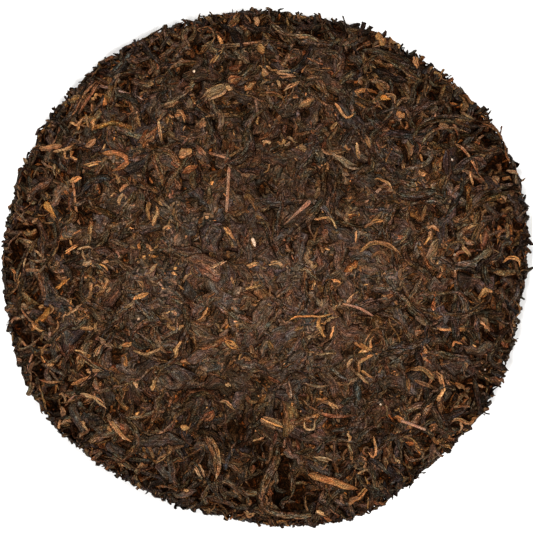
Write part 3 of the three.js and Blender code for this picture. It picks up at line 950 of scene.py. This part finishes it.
golden_tip = leaf_kind(
    "golden_tips", "golden_tip", length=(4, 11), short=1.4, width=(0.9, 1.9), thick=(0.45, 0.7),
    tapers=((0.05, 0.3), (0.2, 0.7)), blunt=(0.5, 1.0), bend=1.3, wave=0.35, kinked=0.4, uneven=0.55,
    folds=0.35, turn=1.6, slant=0.6, late=0.2, thinned=0.1, to_middle=1.15, seams=(1.15, 2.1),
    dark=(108, 73, 45), light=(196, 132, 78), tone=2.1, dulled=0.15,
    ridges=1.2, contrast=0.7, creased=0.35, rough=0.65, gloss=0.03,
)
strewn(golden_tip, crown=700, underside=320)
laid_by_hand(golden_tip, [
    (1.5, (-67.5, 38), (-60, 39)), (1.3, (-40, 55.5), (-38, 45.5)),
    (1.5, (-33.5, 57.5), (-31, 57.5), (-29.5, 53.5)), (1.2, (-21.5, 74), (-18, 78), (-14.5, 83)),
    (1.2, (-77.5, 43), (-71, 44.5)), (1.4, (-75.5, 5), (-68.5, 9)),
    (1.4, (-22, 0), (-18, 1.2), (-13.5, 3.5)), (1.1, (-38, 14.5), (-36, 15.6), (-34.5, 15)),
    (1.5, (-16, 16.5), (-11, 10)), (1.1, (25.5, 61), (29.5, 55.5), (33, 57.5)),
    (1.2, (23.5, 51), (27, 54.5)), (1.3, (62.5, 53), (68, 52.5)), (1.2, (33, 46.5), (34.5, 39.5)),
    (1.0, (17.5, 18), (23.5, 18.5), (26, 14.5)), (1.2, (36.5, 15.5), (40.5, 17.5), (46.5, 17.5)),
    (1.5, (32.5, 5), (40.5, 9.5), (48, 6.5), (50, 2)), (1.7, (-8, 0.5), (-1.5, 2)),
    (1.4, (0.5, 1.5), (4.5, 2), (7, -1)), (1.0, (60.5, 12), (58, 8.5)), (1.5, (72, 9), (75.5, 4)),
    (1.2, (42, 86.5), (43, 82.5)), (1.1, (68, 70.5), (70.5, 68.5)), (1.0, (78.5, 58), (81, 57.5)),
    (1.2, (89, 36), (93.5, 35)), (1.5, (-49, -11.5), (-42, -8.5)),
    (1.3, (-69.5, -19), (-64, -17.5)), (1.1, (-49, -30), (-44, -31.5), (-38, -29)),
    (1.4, (-53.5, -29), (-48, -27)), (1.3, (-64, -34), (-60.5, -28)),
    (1.4, (-70, -46), (-63, -47.5), (-58, -52)), (1.1, (-72, -43), (-65, -39.5)),
    (1.3, (-58, -54.5), (-52.5, -62), (-49, -64.5)), (1.6, (32.5, -27), (40.5, -31)),
    (1.5, (34, -34.5), (39.5, -31.5)), (1.3, (32.5, -37.5), (38, -43)),
    (1.1, (35, -37.5), (39.5, -40.5)), (1.0, (23.5, -26), (25, -21)),
    (0.9, (68.5, -29), (69.5, -27), (72.5, -28)), (1.5, (66, -43), (62.5, -50.5)),
    (1.5, (67.5, -57), (70.5, -55.5), (75, -57), (79.5, -54.5)),
    (1.1, (39.5, -61.5), (40.5, -67), (39.5, -69.5), (37.5, -67.5)), (1.7, (-41, -72), (-36, -68)),
    (1.1, (-7.5, -7.5), (-1.5, -6)), (1.0, (-2, -55), (6.5, -58.5)),
    (1.0, (14, -56), (14.5, -59), (17.5, -59), (18, -55.5)), (1.4, (22.5, -49), (27, -52)),
    (0.9, (8.5, -19), (12, -17.5), (16.5, -17.5), (21, -17.5), (25, -16.5)),
    (1.1, (-72.5, 54), (-69.5, 53), (-67.5, 55.5)), (1.1, (-69.5, 51), (-68.5, 53.5)),
    (0.9, (-66.5, 57), (-65.5, 52)), (1.5, (-64, 62), (-63, 63.5), (-62, 64.5)),
    (1.1, (-78.5, 43), (-74, 44), (-71, 45.5)), (0.9, (-74, 43.5), (-74, 41), (-72.5, 40.5)),
    (1.7, (-72, 31), (-70, 33), (-67.5, 33.5)), (1.5, (-60, 2), (-58, 3)),
    (0.8, (-61.5, 1.5), (-59.5, 1), (-58, -1)), (0.9, (-85.5, 7), (-82, 4)),
    (0.8, (-88.5, 4), (-89.5, 0)), (1.3, (-78.5, -8.5), (-75.5, -6), (-72, -3)),
    (0.9, (-71.5, -11.5), (-72, -13), (-71, -13)), (0.9, (-63.5, -7), (-62, -6), (-59.5, -8)),
    (1.3, (-84, -14.5), (-81, -13.5)), (0.9, (-80, -13), (-78.5, -15), (-80.5, -17.5)),
    (1.1, (-73.5, -17.5), (-69.5, -14.5), (-67.5, -13)), (1.1, (-58.5, -9), (-57, -7)),
    (0.8, (-71.5, -43), (-68.5, -42), (-64.5, -39)), (1.5, (-64, -37.5), (-61, -37.5)),
    (1.3, (-66, -37), (-64.5, -39)), (1.5, (-58, -55), (-56, -58), (-54, -61.5)),
    (1.1, (-67.5, -56), (-67, -58), (-65.5, -60)), (1.1, (-86.5, -20), (-84, -22.5), (-81.5, -23)),
    (0.9, (-77, -19), (-76.5, -21.5), (-78.5, -24)), (1.1, (-81, -35.5), (-78, -35.5)),
    (0.8, (-70.5, -30), (-68, -30.5), (-65.5, -31.5)), (1.1, (-76.5, -56), (-76, -59)),
    (2.2, (-4, 93.5), (-3, 89)), (1.3, (-86, 17), (-84, 18.5)),
    (0.9, (-69.5, 7), (-65.5, 8), (-63.5, 7)), (1.3, (86, 1), (90, 4), (93.5, 3), (94, 0)),
    (1.0, (91, -11.5), (93.5, -15.5), (90, -21)), (2.2, (-31.5, -58.5), (-28, -58.5)),
    (1.4, (-18.5, -49.5), (-15, -49), (-10.5, -52.5)), (1.6, (-15, -43), (-13, -42.5)),
    (1.0, (-5, -63.5), (-0.5, -62)), (1.2, (-26.5, -72.5), (-23, -78.5)),
    (1.0, (-25, -71.5), (-22.5, -77)), (1.5, (-30.5, -82), (-28.5, -82)),
    (2.0, (18.5, -89), (22, -91.5)), (2.2, (-9, -89.5), (-3, -91.5)), (2.6, (41, 86.5), (43.5, 82)),
    (2.4, (45.5, 85.5), (49, 84.5)), (1.8, (49, 83.5), (49.5, 80.5)), (2.2, (55, 79), (55.5, 73.5)),
    (1.8, (42.5, 63.5), (47, 63.5), (48, 60.5)), (2.4, (48, 57.5), (51, 55.5)),
    (1.6, (36.5, 48.5), (38.5, 44)), (1.0, (75, 36), (76.5, 30.5)), (1.6, (6, 65.5), (13, 69)),
    (1.2, (4.5, 70), (5, 66)), (1.8, (-15, 67), (-12.2, 65.6)), (2.6, (-1.5, 73), (0.5, 71)),
    (1.2, (-1.5, 46.5), (2, 46.5)), (1.1, (7, 45), (9, 46.5)),
], tapers=((0.04, 0.2), (0.1, 0.4)), tones=(0.2, 0.85))
laid_by_hand(golden_tip, [
    (2.7, (-81.2, 24.8), (-79.5, 21.5), (-77, 18.5)), (2.2, (42, 63), (46, 62.5)),
], tapers=((0.15, 0.2), (0.6, 0.7)), seams=(), dark=(196, 122, 52), light=(206, 128, 56))
laid_by_hand(golden_tip, [
    (2.1, (-60.5, 42.5), (-53, 42), (-51, 39), (-57, 35.5)), (2.2, (-83.5, 44), (-75, 45.5)),
], tapers=((0.04, 0.1), (0.1, 0.3)), seams=(), dark=(142, 86, 50), light=(158, 96, 54))


# ==== Stems ====
# Straight bits of shoot, round and smooth, that dry pinkish tan. A few were picked with the
# leaves and are pressed in among them.

stem = leaf_kind(
    "stems", "stem", length=(6, 20), short=1.6, width=(0.8, 1.3), thick=(0.7, 0.9),
    tapers=((0.03, 0.08), (0.03, 0.12)), blunt=(0.4, 0.6), bend=0.3, wave=0.05, kinked=0.1,
    uneven=0.12, folds=0.08, turn=0.3, slant=0.4, late=0.1, dark=(112, 74, 52), light=(180, 120, 84),
    tone=1.2, dulled=0.2, ridges=1.4, contrast=0.6, creased=0.2, rough=0.55, gloss=0.1,
)
strewn(stem, crown=60, underside=40)
laid_by_hand(stem, [
    (1.3, (-13.5, 37.5), (-14.5, 20.5)), (1.0, (28, -13), (34, -14.5), (39.5, -17.5)),
    (1.2, (49.5, -56), (54, -57.5), (59, -59.5)),
], tones=(0.5, 0.9))
laid_by_hand(
    stem, [(1.9, (16.5, 25), (6.5, 16))], tapers=((0.03, 0.06), (0.8, 0.9)), blunt=(0.7, 0.8),
    tones=(0.3, 0.6),
)


# ==== Pale chips ====
# A few chips of bare stem, cream where the skin came off. They are stuck between the leaves of
# the crown.

pale_chip = leaf_kind(
    "pale_chips", "pale_chip", thick=(0.7, 0.9), tapers=((0.1, 0.2), (0.1, 0.3)), blunt=(0.4, 0.6),
    uneven=0.2, folds=0.15, turn=0.3, slant=0.4, dark=(196, 150, 108), light=(224, 176, 130),
    ridges=1.4, contrast=0.3, creased=0.1, gloss=0.1,
)
laid_by_hand(pale_chip, [
    (1.0, (-26.5, 73), (-26.5, 72)), (1.1, (-47.3, -18.5), (-46.3, -18.5)),
    (0.8, (68.5, 40.5), (68.7, 39.7)), (0.8, (69.5, 5.5), (69.2, 4.7)),
    (0.8, (81, -37), (80.6, -37.6)), (0.8, (42, -49.5), (42.2, -50.3)),
])
laid_by_hand(pale_chip, [(1.3, (-5, 11.3), (-4, 8))], dark=(226, 172, 122), light=(232, 176, 126))


# ==== Wiry curls ====
# Thin veins and leaf edges that curled up like wire as the leaves dried. They lie near the top
# of the heap.

wiry_curl = leaf_kind(
    "wiry_curls", "wiry_curl", length=(5, 18), short=1.3, width=(0.5, 1.0), thick=(0.7, 0.95),
    tapers=((0.05, 0.2), (0.1, 0.4)), blunt=(0.5, 0.9), bend=2.4, wave=0.5, kinked=0.2, uneven=0.2,
    folds=0.1, turn=0.5, slant=0.2, late=0.3, thinned=0.5, dark=(52, 37, 27), light=(134, 90, 56),
    tone=1.2, ridges=1.4, contrast=1.0, creased=0.4, gloss=0.08,
)
strewn(wiry_curl, crown=1100, underside=450)
laid_by_hand(wiry_curl, [
    (0.9, (-95.5, 7), (-93, 11), (-90.5, 13.5)), (0.9, (-90.5, -14.5), (-87, -19), (-82, -22)),
    (1.0, (82.5, 53), (88, 50), (89, 45.5)), (0.7, (-26.5, 87.5), (-21, 89), (-19, 85), (-21, 82)),
])


# ==== Crumb ====
# Broken bits of every colour that fill the gaps between the leaves, glued down by the juice that
# dried there.

crumb = leaf_kind(
    "leaf_crumb", "leaf_crumb", length=(0.8, 2.8), short=1.6, width=(0.5, 1.2), thick=(0.5, 0.8),
    tapers=((0.2, 0.5), (0.2, 0.5)), blunt=(0.5, 0.8), bend=0.3, wave=0.1, kinked=0.0, uneven=0.2,
    folds=0.2, turn=0.5, slant=0.4, late=0.1, dark=(36, 26, 20), light=(124, 84, 54), tone=2.4,
    ridges=1.2, contrast=1.3, creased=0.5, rough=0.65,
)
strewn(crumb, crown=3800, underside=2200)


# ==== Laying and pressing the heap ====
# Every leaf in turn is laid on what lies there already and bends over it. Then the stone presses
# the heap: the faces become nearly level, and the rim, which nothing presses, stays rough.

CELL = 0.4
MAP_MARGIN = 24
ACROSS = np.array([-0.85, -0.45, 0.0, 0.45, 0.85])
SUNK = 0.35
PLACED_HIGHER = 0.5
DRAPE = 1.6
SEEN_CELLS = 7

# What the stone leaves of the heap's height on the faces and at the rim: the share of a height
# above or below its level, and how proud of the level a leaf can stand, in mm
LEVEL_SPAN = 4.0
LEVEL = 0.1
GIVE = (0.5, 0.85)
PROUD = (0.42, 1.1)
UNDERSIDE_ROOM = 0.75

# The broken mass that fills the heap: how smoothly it follows the leaves, how far below their
# tops it lies on the faces and at the rim, how much that changes and over what span, all in mm
MASS_SPAN = 0.9
MASS_DROP = (0.4, 1.25)
MASS_SWAY = 0.3
MASS_SWAY_SPAN = 2.0

leaves = {key: np.concatenate([group[key] for group in heap]) for key in heap[0]}


def cells_of(points, face):
    """Cell numbers of places on a face's map, in a square grid round its middle"""
    side = int(2 * (FACE_REACH[face] + MAP_MARGIN) / CELL)
    where = np.clip(np.round(points / CELL).astype(int) + side // 2, 0, side - 1)
    return where[..., 0] * side + where[..., 1], side


def profile(share, tapers, blunt):
    """How full a leaf is along its length, from nothing at its ends to 1"""
    start = np.clip(share / tapers[:, :1], 0, 1)
    end = np.clip((1 - share) / tapers[:, 1:], 0, 1)
    return np.minimum(start, end) ** blunt[:, None]


def spread_out(grid, reach):
    """A grid made smooth over a given reach in mm"""
    rows, columns = np.fft.fftfreq(grid.shape[0]), np.fft.rfftfreq(grid.shape[1])
    pass_low = np.exp(-2 * (np.pi * (reach / CELL)) ** 2 * (rows[:, None] ** 2 + columns[None] ** 2))
    return np.fft.irfft2(np.fft.rfft2(grid) * pass_low, s=grid.shape).ravel()


def counted_from(face, along):
    """A distance from the middle of the crown as one from a face's own middle, or back again"""
    return section_length - along if face == "underside" else along


def sideways_of(heading):
    return np.stack([np.sin(heading), -np.cos(heading)], -1)


steps_apart = np.abs(np.arange(LINE_STEPS + 1)[:, None] - np.arange(LINE_STEPS + 1)[None])
leaves["rests_at"] = np.zeros((len(leaves["length"]), LINE_STEPS + 1))
leaves["seen"] = np.zeros(len(leaves["length"]), int)
level_maps = {}
mass_maps = {}

for face in FACE_REACH:
    chosen = np.flatnonzero(leaves["face"] == face)
    line, heading = leaves["line"][chosen], leaves["heading"][chosen]
    half = leaves["width"][chosen] / 2
    full = profile(LINE_SHARES, leaves["tapers"][chosen], leaves["blunt"][chosen])
    offset = (half[:, None] * full)[:, :, None] * ACROSS
    cells, side = cells_of(line[:, :, None] + offset[..., None] * sideways_of(heading)[:, :, None], face)
    crest = (leaves["thick"][chosen][:, None] * full * (1 - SUNK))[:, :, None] * np.sqrt(1 - ACROSS ** 2)
    heights = np.zeros(side * side)
    owner = np.full(side * side, -1)
    order = np.argsort(draws.random(len(chosen)) + leaves["late"][chosen], kind="stable")
    softness = {}
    for leaf in order:
        size = max(1, int(round(leaves["length"][chosen[leaf]])))
        if size not in softness:
            weights = np.exp(-0.5 * (steps_apart * size / LINE_STEPS / DRAPE) ** 2)
            softness[size] = weights / weights.sum(1, keepdims=True)
        spot = cells[leaf]
        below = heights[spot]
        rests = softness[size] @ below.mean(1)
        top = rests[:, None] + crest[leaf]
        higher = top > below
        heights[spot] = np.where(higher, top, below)
        owner[spot[higher]] = leaf
        leaves["rests_at"][chosen[leaf]] = rests
    pile = heights.reshape(side, side)
    level_maps[face] = spread_out(pile, LEVEL_SPAN)
    every_cell = np.stack(np.meshgrid(np.arange(side), np.arange(side), indexing="ij"), -1)
    cell_places = (every_cell - side // 2) * CELL
    from_middle = np.hypot(cell_places[..., 0], cell_places[..., 1])
    loose = looseness(counted_from(face, from_middle)).ravel()
    sway = spread_out(draws.normal(0, 1, (side, side)), MASS_SWAY_SPAN)
    mass = spread_out(pile, MASS_SPAN)
    mass += MASS_SWAY * sway / sway.std() - between(*MASS_DROP, loose)
    if face == "crown":
        mass -= hollow_depth(cell_places).ravel()
    mass_maps[face] = mass
    seen = np.bincount(owner[(owner >= 0) & (heights > mass)], minlength=len(chosen))
    leaves["seen"][chosen] = np.where(leaves["placed"][chosen], SEEN_CELLS, seen)


def pressed(points, pile, face):
    """How far out of the skin a height in the heap ends up, at a place on a face's map"""
    along = counted_from(face, np.hypot(points[..., 0], points[..., 1]))
    loose = looseness(along)
    give, proud, level = between(*GIVE, loose), between(*PROUD, loose), LEVEL
    if face == "underside":
        room = np.clip(UNDERSIDE_ROOM * section_at(along)[1], 0, proud + level)
        level = room - proud
    above = pile - level_maps[face][cells_of(points, face)[0]]
    height = give * above
    squeezed = proud * (1 - np.exp(-np.maximum(height, 0) / proud))
    return level + np.where(height > 0, squeezed, height), along, above


# A leaf is a closed ball of a few sides and rings, drawn out along its line. Which ball depends
# on its kind or its length in mm.
BALLS = {
    "crown": {
        "crumb": (5, 3), "short": (7, 5), "middling": (7, 7), "long": (8, 10), "longest": (8, 15),
        "wiry": (5, 12), "by_hand": (8, 12),
    },
    "underside": {
        "crumb": (5, 3), "short": (5, 4), "middling": (6, 6), "long": (7, 8), "longest": (7, 11),
        "wiry": (5, 8),
    },
}
SHORT_BELOW = 5.0
LONG_ABOVE = 9.5
LONGEST_ABOVE = 16.0

# The edges are worn in waves and torn in shorter ones, each side on its own
SIDES_APART = 1.6
TORN_SHARE = 0.75
TORN_PACE = 2.7
TORN_APART = 2.1

# A ragged tip rises out of the rim from here on, and the tip colour begins from there on
RISES_FROM = 0.2
TIP_FROM = 0.35

# Painted shade: each leaf's colour is darkened towards its sides, where it meets its neighbours,
# and where it lies deep in the heap, in place of the shade that falls there. Both shades are shares of the
# light, on the faces and at the rim.
SHADED_OVER = (30.0, 98.0)
SIDE_FADE = (-0.1, 0.6)
SIDE_SHADE = (0.1, 0.04)
PLACED_SIDE_SHADE = 0.1
DEPTH_FADE = (-1.0, 0.35)
DEPTH_SHADE = (0.3, 0.1)

# The grain's map: how much of it goes round a leaf for each mm of width, and how far apart the
# leaves lie on it. The sheet's map has a margin round every leaf, as a share of its square.
GRAIN_ROUND = 2.4
GRAIN_APART = 400
SHEET_MARGIN = 0.08


def ball_of(sides, rings):
    """A round ball, with its faces put in the same order each run"""
    ball = bmesh.new()
    sheet = ball.loops.layers.uv.new("sheet")
    bmesh.ops.create_uvsphere(ball, u_segments=sides, v_segments=rings, radius=1, calc_uvs=True)
    ball.verts.ensure_lookup_table()
    corners = np.array([vert.co for vert in ball.verts])
    ordered = sorted(ball.faces, key=lambda face: sorted(vert.index for vert in face.verts))
    faces = [[vert.index for vert in face.verts] for face in ordered]
    sheets = np.array([loop[sheet].uv for face in ordered for loop in face.loops])
    ball.free()
    girth = np.hypot(corners[:, 0], corners[:, 1])
    return {
        "share": (1 - corners[:, 2]) / 2,
        "turn": np.arctan2(corners[:, 1], corners[:, 0]),
        "girth": girth > 1e-6,
        "reach": np.minimum(1, 3 * girth),
        "loops": np.concatenate(faces),
        "sizes": np.array([len(face) for face in faces]),
        "sheet": sheets,
    }


def shaped(ball, chosen, face):
    """The corners and colours of some leaves that share one ball"""
    pick = {key: values[chosen] for key, values in leaves.items()}
    share, turn = ball["share"], ball["turn"]
    line, heading, rests = (along_line(pick[key], share) for key in ("line", "heading", "rests_at"))
    width, thick, placed = pick["width"][:, None], pick["thick"][:, None], pick["placed"][:, None]
    wobble, folds = pick["wobble"], pick["folds"]

    sway = wobble[:, 1:2] * 2 * np.pi * share + wobble[:, 2:] + SIDES_APART * np.cos(turn)
    torn = TORN_PACE * wobble[:, 1:2] * 2 * np.pi * share + 2 * wobble[:, 2:] + TORN_APART * np.cos(turn)
    full = profile(share, pick["tapers"], pick["blunt"]) * ball["girth"]
    full = full * (1 + wobble[:, :1] * (np.sin(sway) + TORN_SHARE * np.sin(torn)))
    twisted = turn - pick["turn"][:, None] * share
    folded = (1 + folds[:, :1] * np.cos(2 * twisted + folds[:, 1:2])
              + folds[:, 2:3] * np.cos(3 * twisted + folds[:, 3:]))
    across = width / 2 * full * folded * np.cos(turn)
    up = thick / 2 * full * folded * np.sin(turn)
    slant = between(pick["slant"][:, :1], pick["slant"][:, 1:], share) * np.abs(2 * share - 1) ** 3
    spots = line + across[..., None] * sideways_of(heading)
    spots = spots + (slant * across)[..., None] * around(1, heading)

    pile = rests + thick * (0.5 - SUNK) + up + PLACED_HIGHER * placed
    out, along, above = pressed(spots, pile, face)
    tip_up = np.clip((share - RISES_FROM) / (1 - RISES_FROM), 0, 1) ** 1.5
    rising = np.where(pick["arched"][:, None], np.sin(np.pi * share) ** 2, tip_up)
    angle = np.arctan2(spots[..., 1], spots[..., 0]) * (-1 if face == "underside" else 1)
    points = on_skin(along, angle, out + pick["lift"][:, None] * rising)

    tints = between(pick["base"][:, None], pick["tip"][:, None], smooth_step(share, TIP_FROM, 1)[:, None])
    # Painted shade: darker towards the leaf's sides and where it lies below the local level, redder as it
    # darkens
    crest = smooth_step(np.sin(turn) * ball["reach"], *SIDE_FADE)
    loose = smooth_step(counted_from(face, along), *SHADED_OVER)
    painted_depth_shade = between(between(*DEPTH_SHADE, loose), 1.0, smooth_step(above, *DEPTH_FADE))
    side = np.where(placed, PLACED_SIDE_SHADE, between(*SIDE_SHADE, loose))
    return points, tints * (between(side, 1.0, crest) * painted_depth_shade)[..., None] ** REDDER_DARK


def paint(mesh, name, colours):
    colours = np.concatenate([colours, np.ones((len(colours), 1))], 1)
    mesh.attributes.new(name, "FLOAT_COLOR", "POINT").data.foreach_set("color", colours.ravel())


def joined(name, groups):
    """One mesh of many leaves, with their colours and two maps: the grain in mm, and a sheet on
    which every leaf has a square of its own"""
    across = math.ceil(math.sqrt(sum(len(group["points"]) for group in groups)))
    points, loops, sizes, tints, grains, sheets = [], [], [], [], [], []
    corner, number = 0, 0
    for group in groups:
        ball, these = group["ball"], len(group["points"])
        points.append(group["points"].reshape(-1, 3))
        tints.append(group["tints"].reshape(-1, 3))
        starts = corner + np.arange(these) * len(ball["share"])
        loops.append((starts[:, None] + ball["loops"]).ravel())
        sizes.append(np.tile(ball["sizes"], these))
        measure = np.stack([group["width"] * GRAIN_ROUND, group["length"]], -1)
        shift = draws.random((these, 2)) * GRAIN_APART
        grains.append((ball["sheet"] * measure[:, None] + shift[:, None]).reshape(-1, 2))
        numbers = number + np.arange(these)
        squares = np.stack([numbers % across, numbers // across], -1)
        inside = squares[:, None] + SHEET_MARGIN + (1 - 2 * SHEET_MARGIN) * ball["sheet"]
        sheets.append((inside / across).reshape(-1, 2))
        corner += these * len(ball["share"])
        number += these
    points, loops, sizes = np.concatenate(points), np.concatenate(loops), np.concatenate(sizes)
    mesh = bpy.data.meshes.new(name)
    mesh.vertices.add(len(points))
    mesh.vertices.foreach_set("co", points.ravel())
    mesh.loops.add(len(loops))
    mesh.loops.foreach_set("vertex_index", loops)
    mesh.polygons.add(len(sizes))
    mesh.polygons.foreach_set("loop_start", np.concatenate([[0], np.cumsum(sizes)[:-1]]))
    mesh.update(calc_edges=True)
    for layer, places in (("OFBake", sheets), ("grain", grains)):
        mesh.uv_layers.new(name=layer).data.foreach_set("uv", np.concatenate(places).ravel())
    paint(mesh, "tint", np.concatenate(tints))
    mesh.shade_smooth()
    return mesh


balls = {face: {name: ball_of(*ball) for name, ball in given.items()} for face, given in BALLS.items()}
length = leaves["length"]
ball_for = np.select(
    [leaves["placed"], leaves["kind"] == crumb["index"], leaves["kind"] == wiry_curl["index"],
     length < SHORT_BELOW, length < LONG_ABOVE, length < LONGEST_ABOVE],
    ["by_hand", "crumb", "wiry", "short", "middling", "long"], "longest")

for kind in KINDS:
    groups = []
    for face in FACE_REACH:
        mine = (leaves["kind"] == kind["index"]) & (leaves["face"] == face) & (leaves["seen"] >= SEEN_CELLS)
        for name, ball in balls[face].items():
            chosen = np.flatnonzero(mine & (ball_for == name))
            if len(chosen) == 0:
                continue
            points, tints = shaped(ball, chosen, face)
            groups.append({"ball": ball, "points": points, "tints": tints,
                           "width": leaves["width"][chosen], "length": length[chosen]})
    piece = new_object(kind["name"], joined(kind["name"], groups))
    piece.data.materials.append(kind["material"])
    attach(piece, "root")


# ==== The pressed mass ====
# What holds the leaves is the same leaf, broken small, steamed soft and dried hard between them.
# On the faces it lies nearly level with the leaves; round the rim they stand clear of it.

MASS_CUTS = 127

# Where the two faces' maps meet on the rim, and how dark the mass is painted where it lies deep,
# as painted shade, on the faces and at the rim
MASS_SEAM = (107.5, 111.5)
MASS_SHADE = (0.25, 0.08)
MASS_FADE = (-1.2, 0.3)

# Its shreds in three layers, by the way they lie and their scale, each in its own patches
SHRED_LAYERS = ((0.4, 900.0), (1.5, 1000.0), (2.5, 950.0))
PATCH_EDGES = ((0.46, 0.475), (0.54, 0.555))

# Their colours: the darkest, then those of paler shreds and the tones between which they begin
DARKEST_SHRED = (52, 42, 35)
PALER_SHREDS = [
    ((82, 63, 50), (0.1, 0.8)), ((97, 69, 50), (0.84, 0.9)), ((156, 106, 68), (0.965, 0.975)),
]

ball = bmesh.new()
bmesh.ops.create_cube(ball, size=2)
bmesh.ops.subdivide_edges(ball, edges=ball.edges[:], cuts=MASS_CUTS, use_grid_fill=True)
mass_mesh = bpy.data.meshes.new("pressed_mass")
ball.to_mesh(mass_mesh)
ball.free()

corners = np.empty(len(mass_mesh.vertices) * 3)
mass_mesh.vertices.foreach_get("co", corners)
corners = np.tan(corners.reshape(-1, 3) * np.pi / 4)
corners /= np.linalg.norm(corners, axis=1, keepdims=True)
along = np.arccos(np.clip(corners[:, 2], -1, 1)) / np.pi * section_length
angle = np.arctan2(corners[:, 1], corners[:, 0])
outs, depths = [], []
for face, reach in FACE_REACH.items():
    walked = np.minimum(counted_from(face, along), reach)
    places = around(walked, -angle if face == "underside" else angle)
    pile = mass_maps[face][cells_of(places, face)[0]]
    out, _, above = pressed(places, pile, face)
    outs.append(out)
    depths.append(above)
seam = smooth_step(along, *MASS_SEAM)
core_points = on_skin(along, angle, between(*outs, seam))
# Painted shade: the mass is darker where it lies deep, most at the rim, and redder as it darkens
off_middle = np.minimum(along, section_length - along)
low = between(*MASS_SHADE, smooth_step(off_middle, *SHADED_OVER))
shade = between(low, 1, smooth_step(between(*depths, seam), *MASS_FADE))
shade *= patch_tone(around(along, angle))
mass_mesh.vertices.foreach_set("co", core_points.ravel())
paint(mass_mesh, "shade", shade[:, None] ** REDDER_DARK)
mass_mesh.update()
mass_mesh.shade_smooth()
pressed_mass = new_object("pressed_mass", mass_mesh)

mass_finish = Finish("pressed_leaf_mass", Specular_IOR_Level=0.03, Specular_Tint=LEAF_SHEEN)
place = mass_finish.place()
stirred = place.moved(place.noise(240.0, 2.0, 0.5, "Color"), 0.0014)


def shred_layer(angle, scale):
    """Broken leaf that lies one way, as long cells: their random colour, how near their rim, and
    the fibres that run along them"""
    way = stirred.turned(angle)
    given = {"Vector": way.times((1, 0.2, 1)), "Scale": scale}
    cells = mass_finish.node("ShaderNodeTexVoronoi", {"feature": "F1"}, given, "Color")
    return cells, cells.also("Distance"), way.times((1, 0.13, 1)).noise(1500.0, 2.0, 0.6)


def of_layers(one, other, third):
    """The values of the three layers, each in its own patches"""
    first = one + (other - one) * patches[0]
    return first + (third - first) * patches[1]


colours, rims, fibres = zip(*(shred_layer(*layer) for layer in SHRED_LAYERS))
patch = place.noise(220.0)
patches = [patch.between(*edges) for edges in PATCH_EDGES]
shreds = patches[1].mixed(patches[0].mixed(colours[0], colours[1]), colours[2])
rims = of_layers(*rims).between(0.45, 0.7)
fibres = of_layers(*fibres).between(0.4, 0.6)
tone = mass_finish.node("ShaderNodeSeparateColor", {}, {0: shreds}, "Red")
mass_colour = srgb(*DARKEST_SHRED)
for paler, tones in PALER_SHREDS:
    mass_colour = tone.between(*tones).mixed(mass_colour, srgb(*paler))
mass_colour = mass_colour.times(tone.also("Green").mixed((0.84, 1.0, 1.24), (1.12, 0.99, 0.82)))
mass_colour = mass_colour.times(tone.also("Blue").mixed((1.06, 0.95, 0.95), (0.95, 1.1, 0.96)))
grit = stirred.noise(1700.0, 3.0, 0.7).between(0.3, 0.7)
crumple = stirred.noise(500.0, 4.0, 0.7).between(0.34, 0.66)
cloud = place.noise(60.0)
specks = place.noise(2000.0, 1.0).between(0.42, 0.58)
dim = (0.55 + 0.3 * grit + 0.3 * crumple + 1.0 * fibres) * (0.4 + 0.4 * cloud + 0.8 * specks)
mass_height = 0.5 * (1 - rims) + 0.3 * tone + 0.15 * grit + 0.5 * crumple + 0.5 * fibres
# Painted shade: the colour darkens towards the rims of the shreds, in the grooves where they meet
mass_mesh.materials.append(mass_finish.shows(
    Base_Color=mass_colour.times(mass_finish.painted("shade")).dimmed(dim * (1 - 0.75 * rims)),
    Roughness=0.55 + 0.3 * grit,
    Normal=mass_finish.bumped(mass_height, 0.0006, 0.9),
))
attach(pressed_mass, "root")
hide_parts("tea_cake")
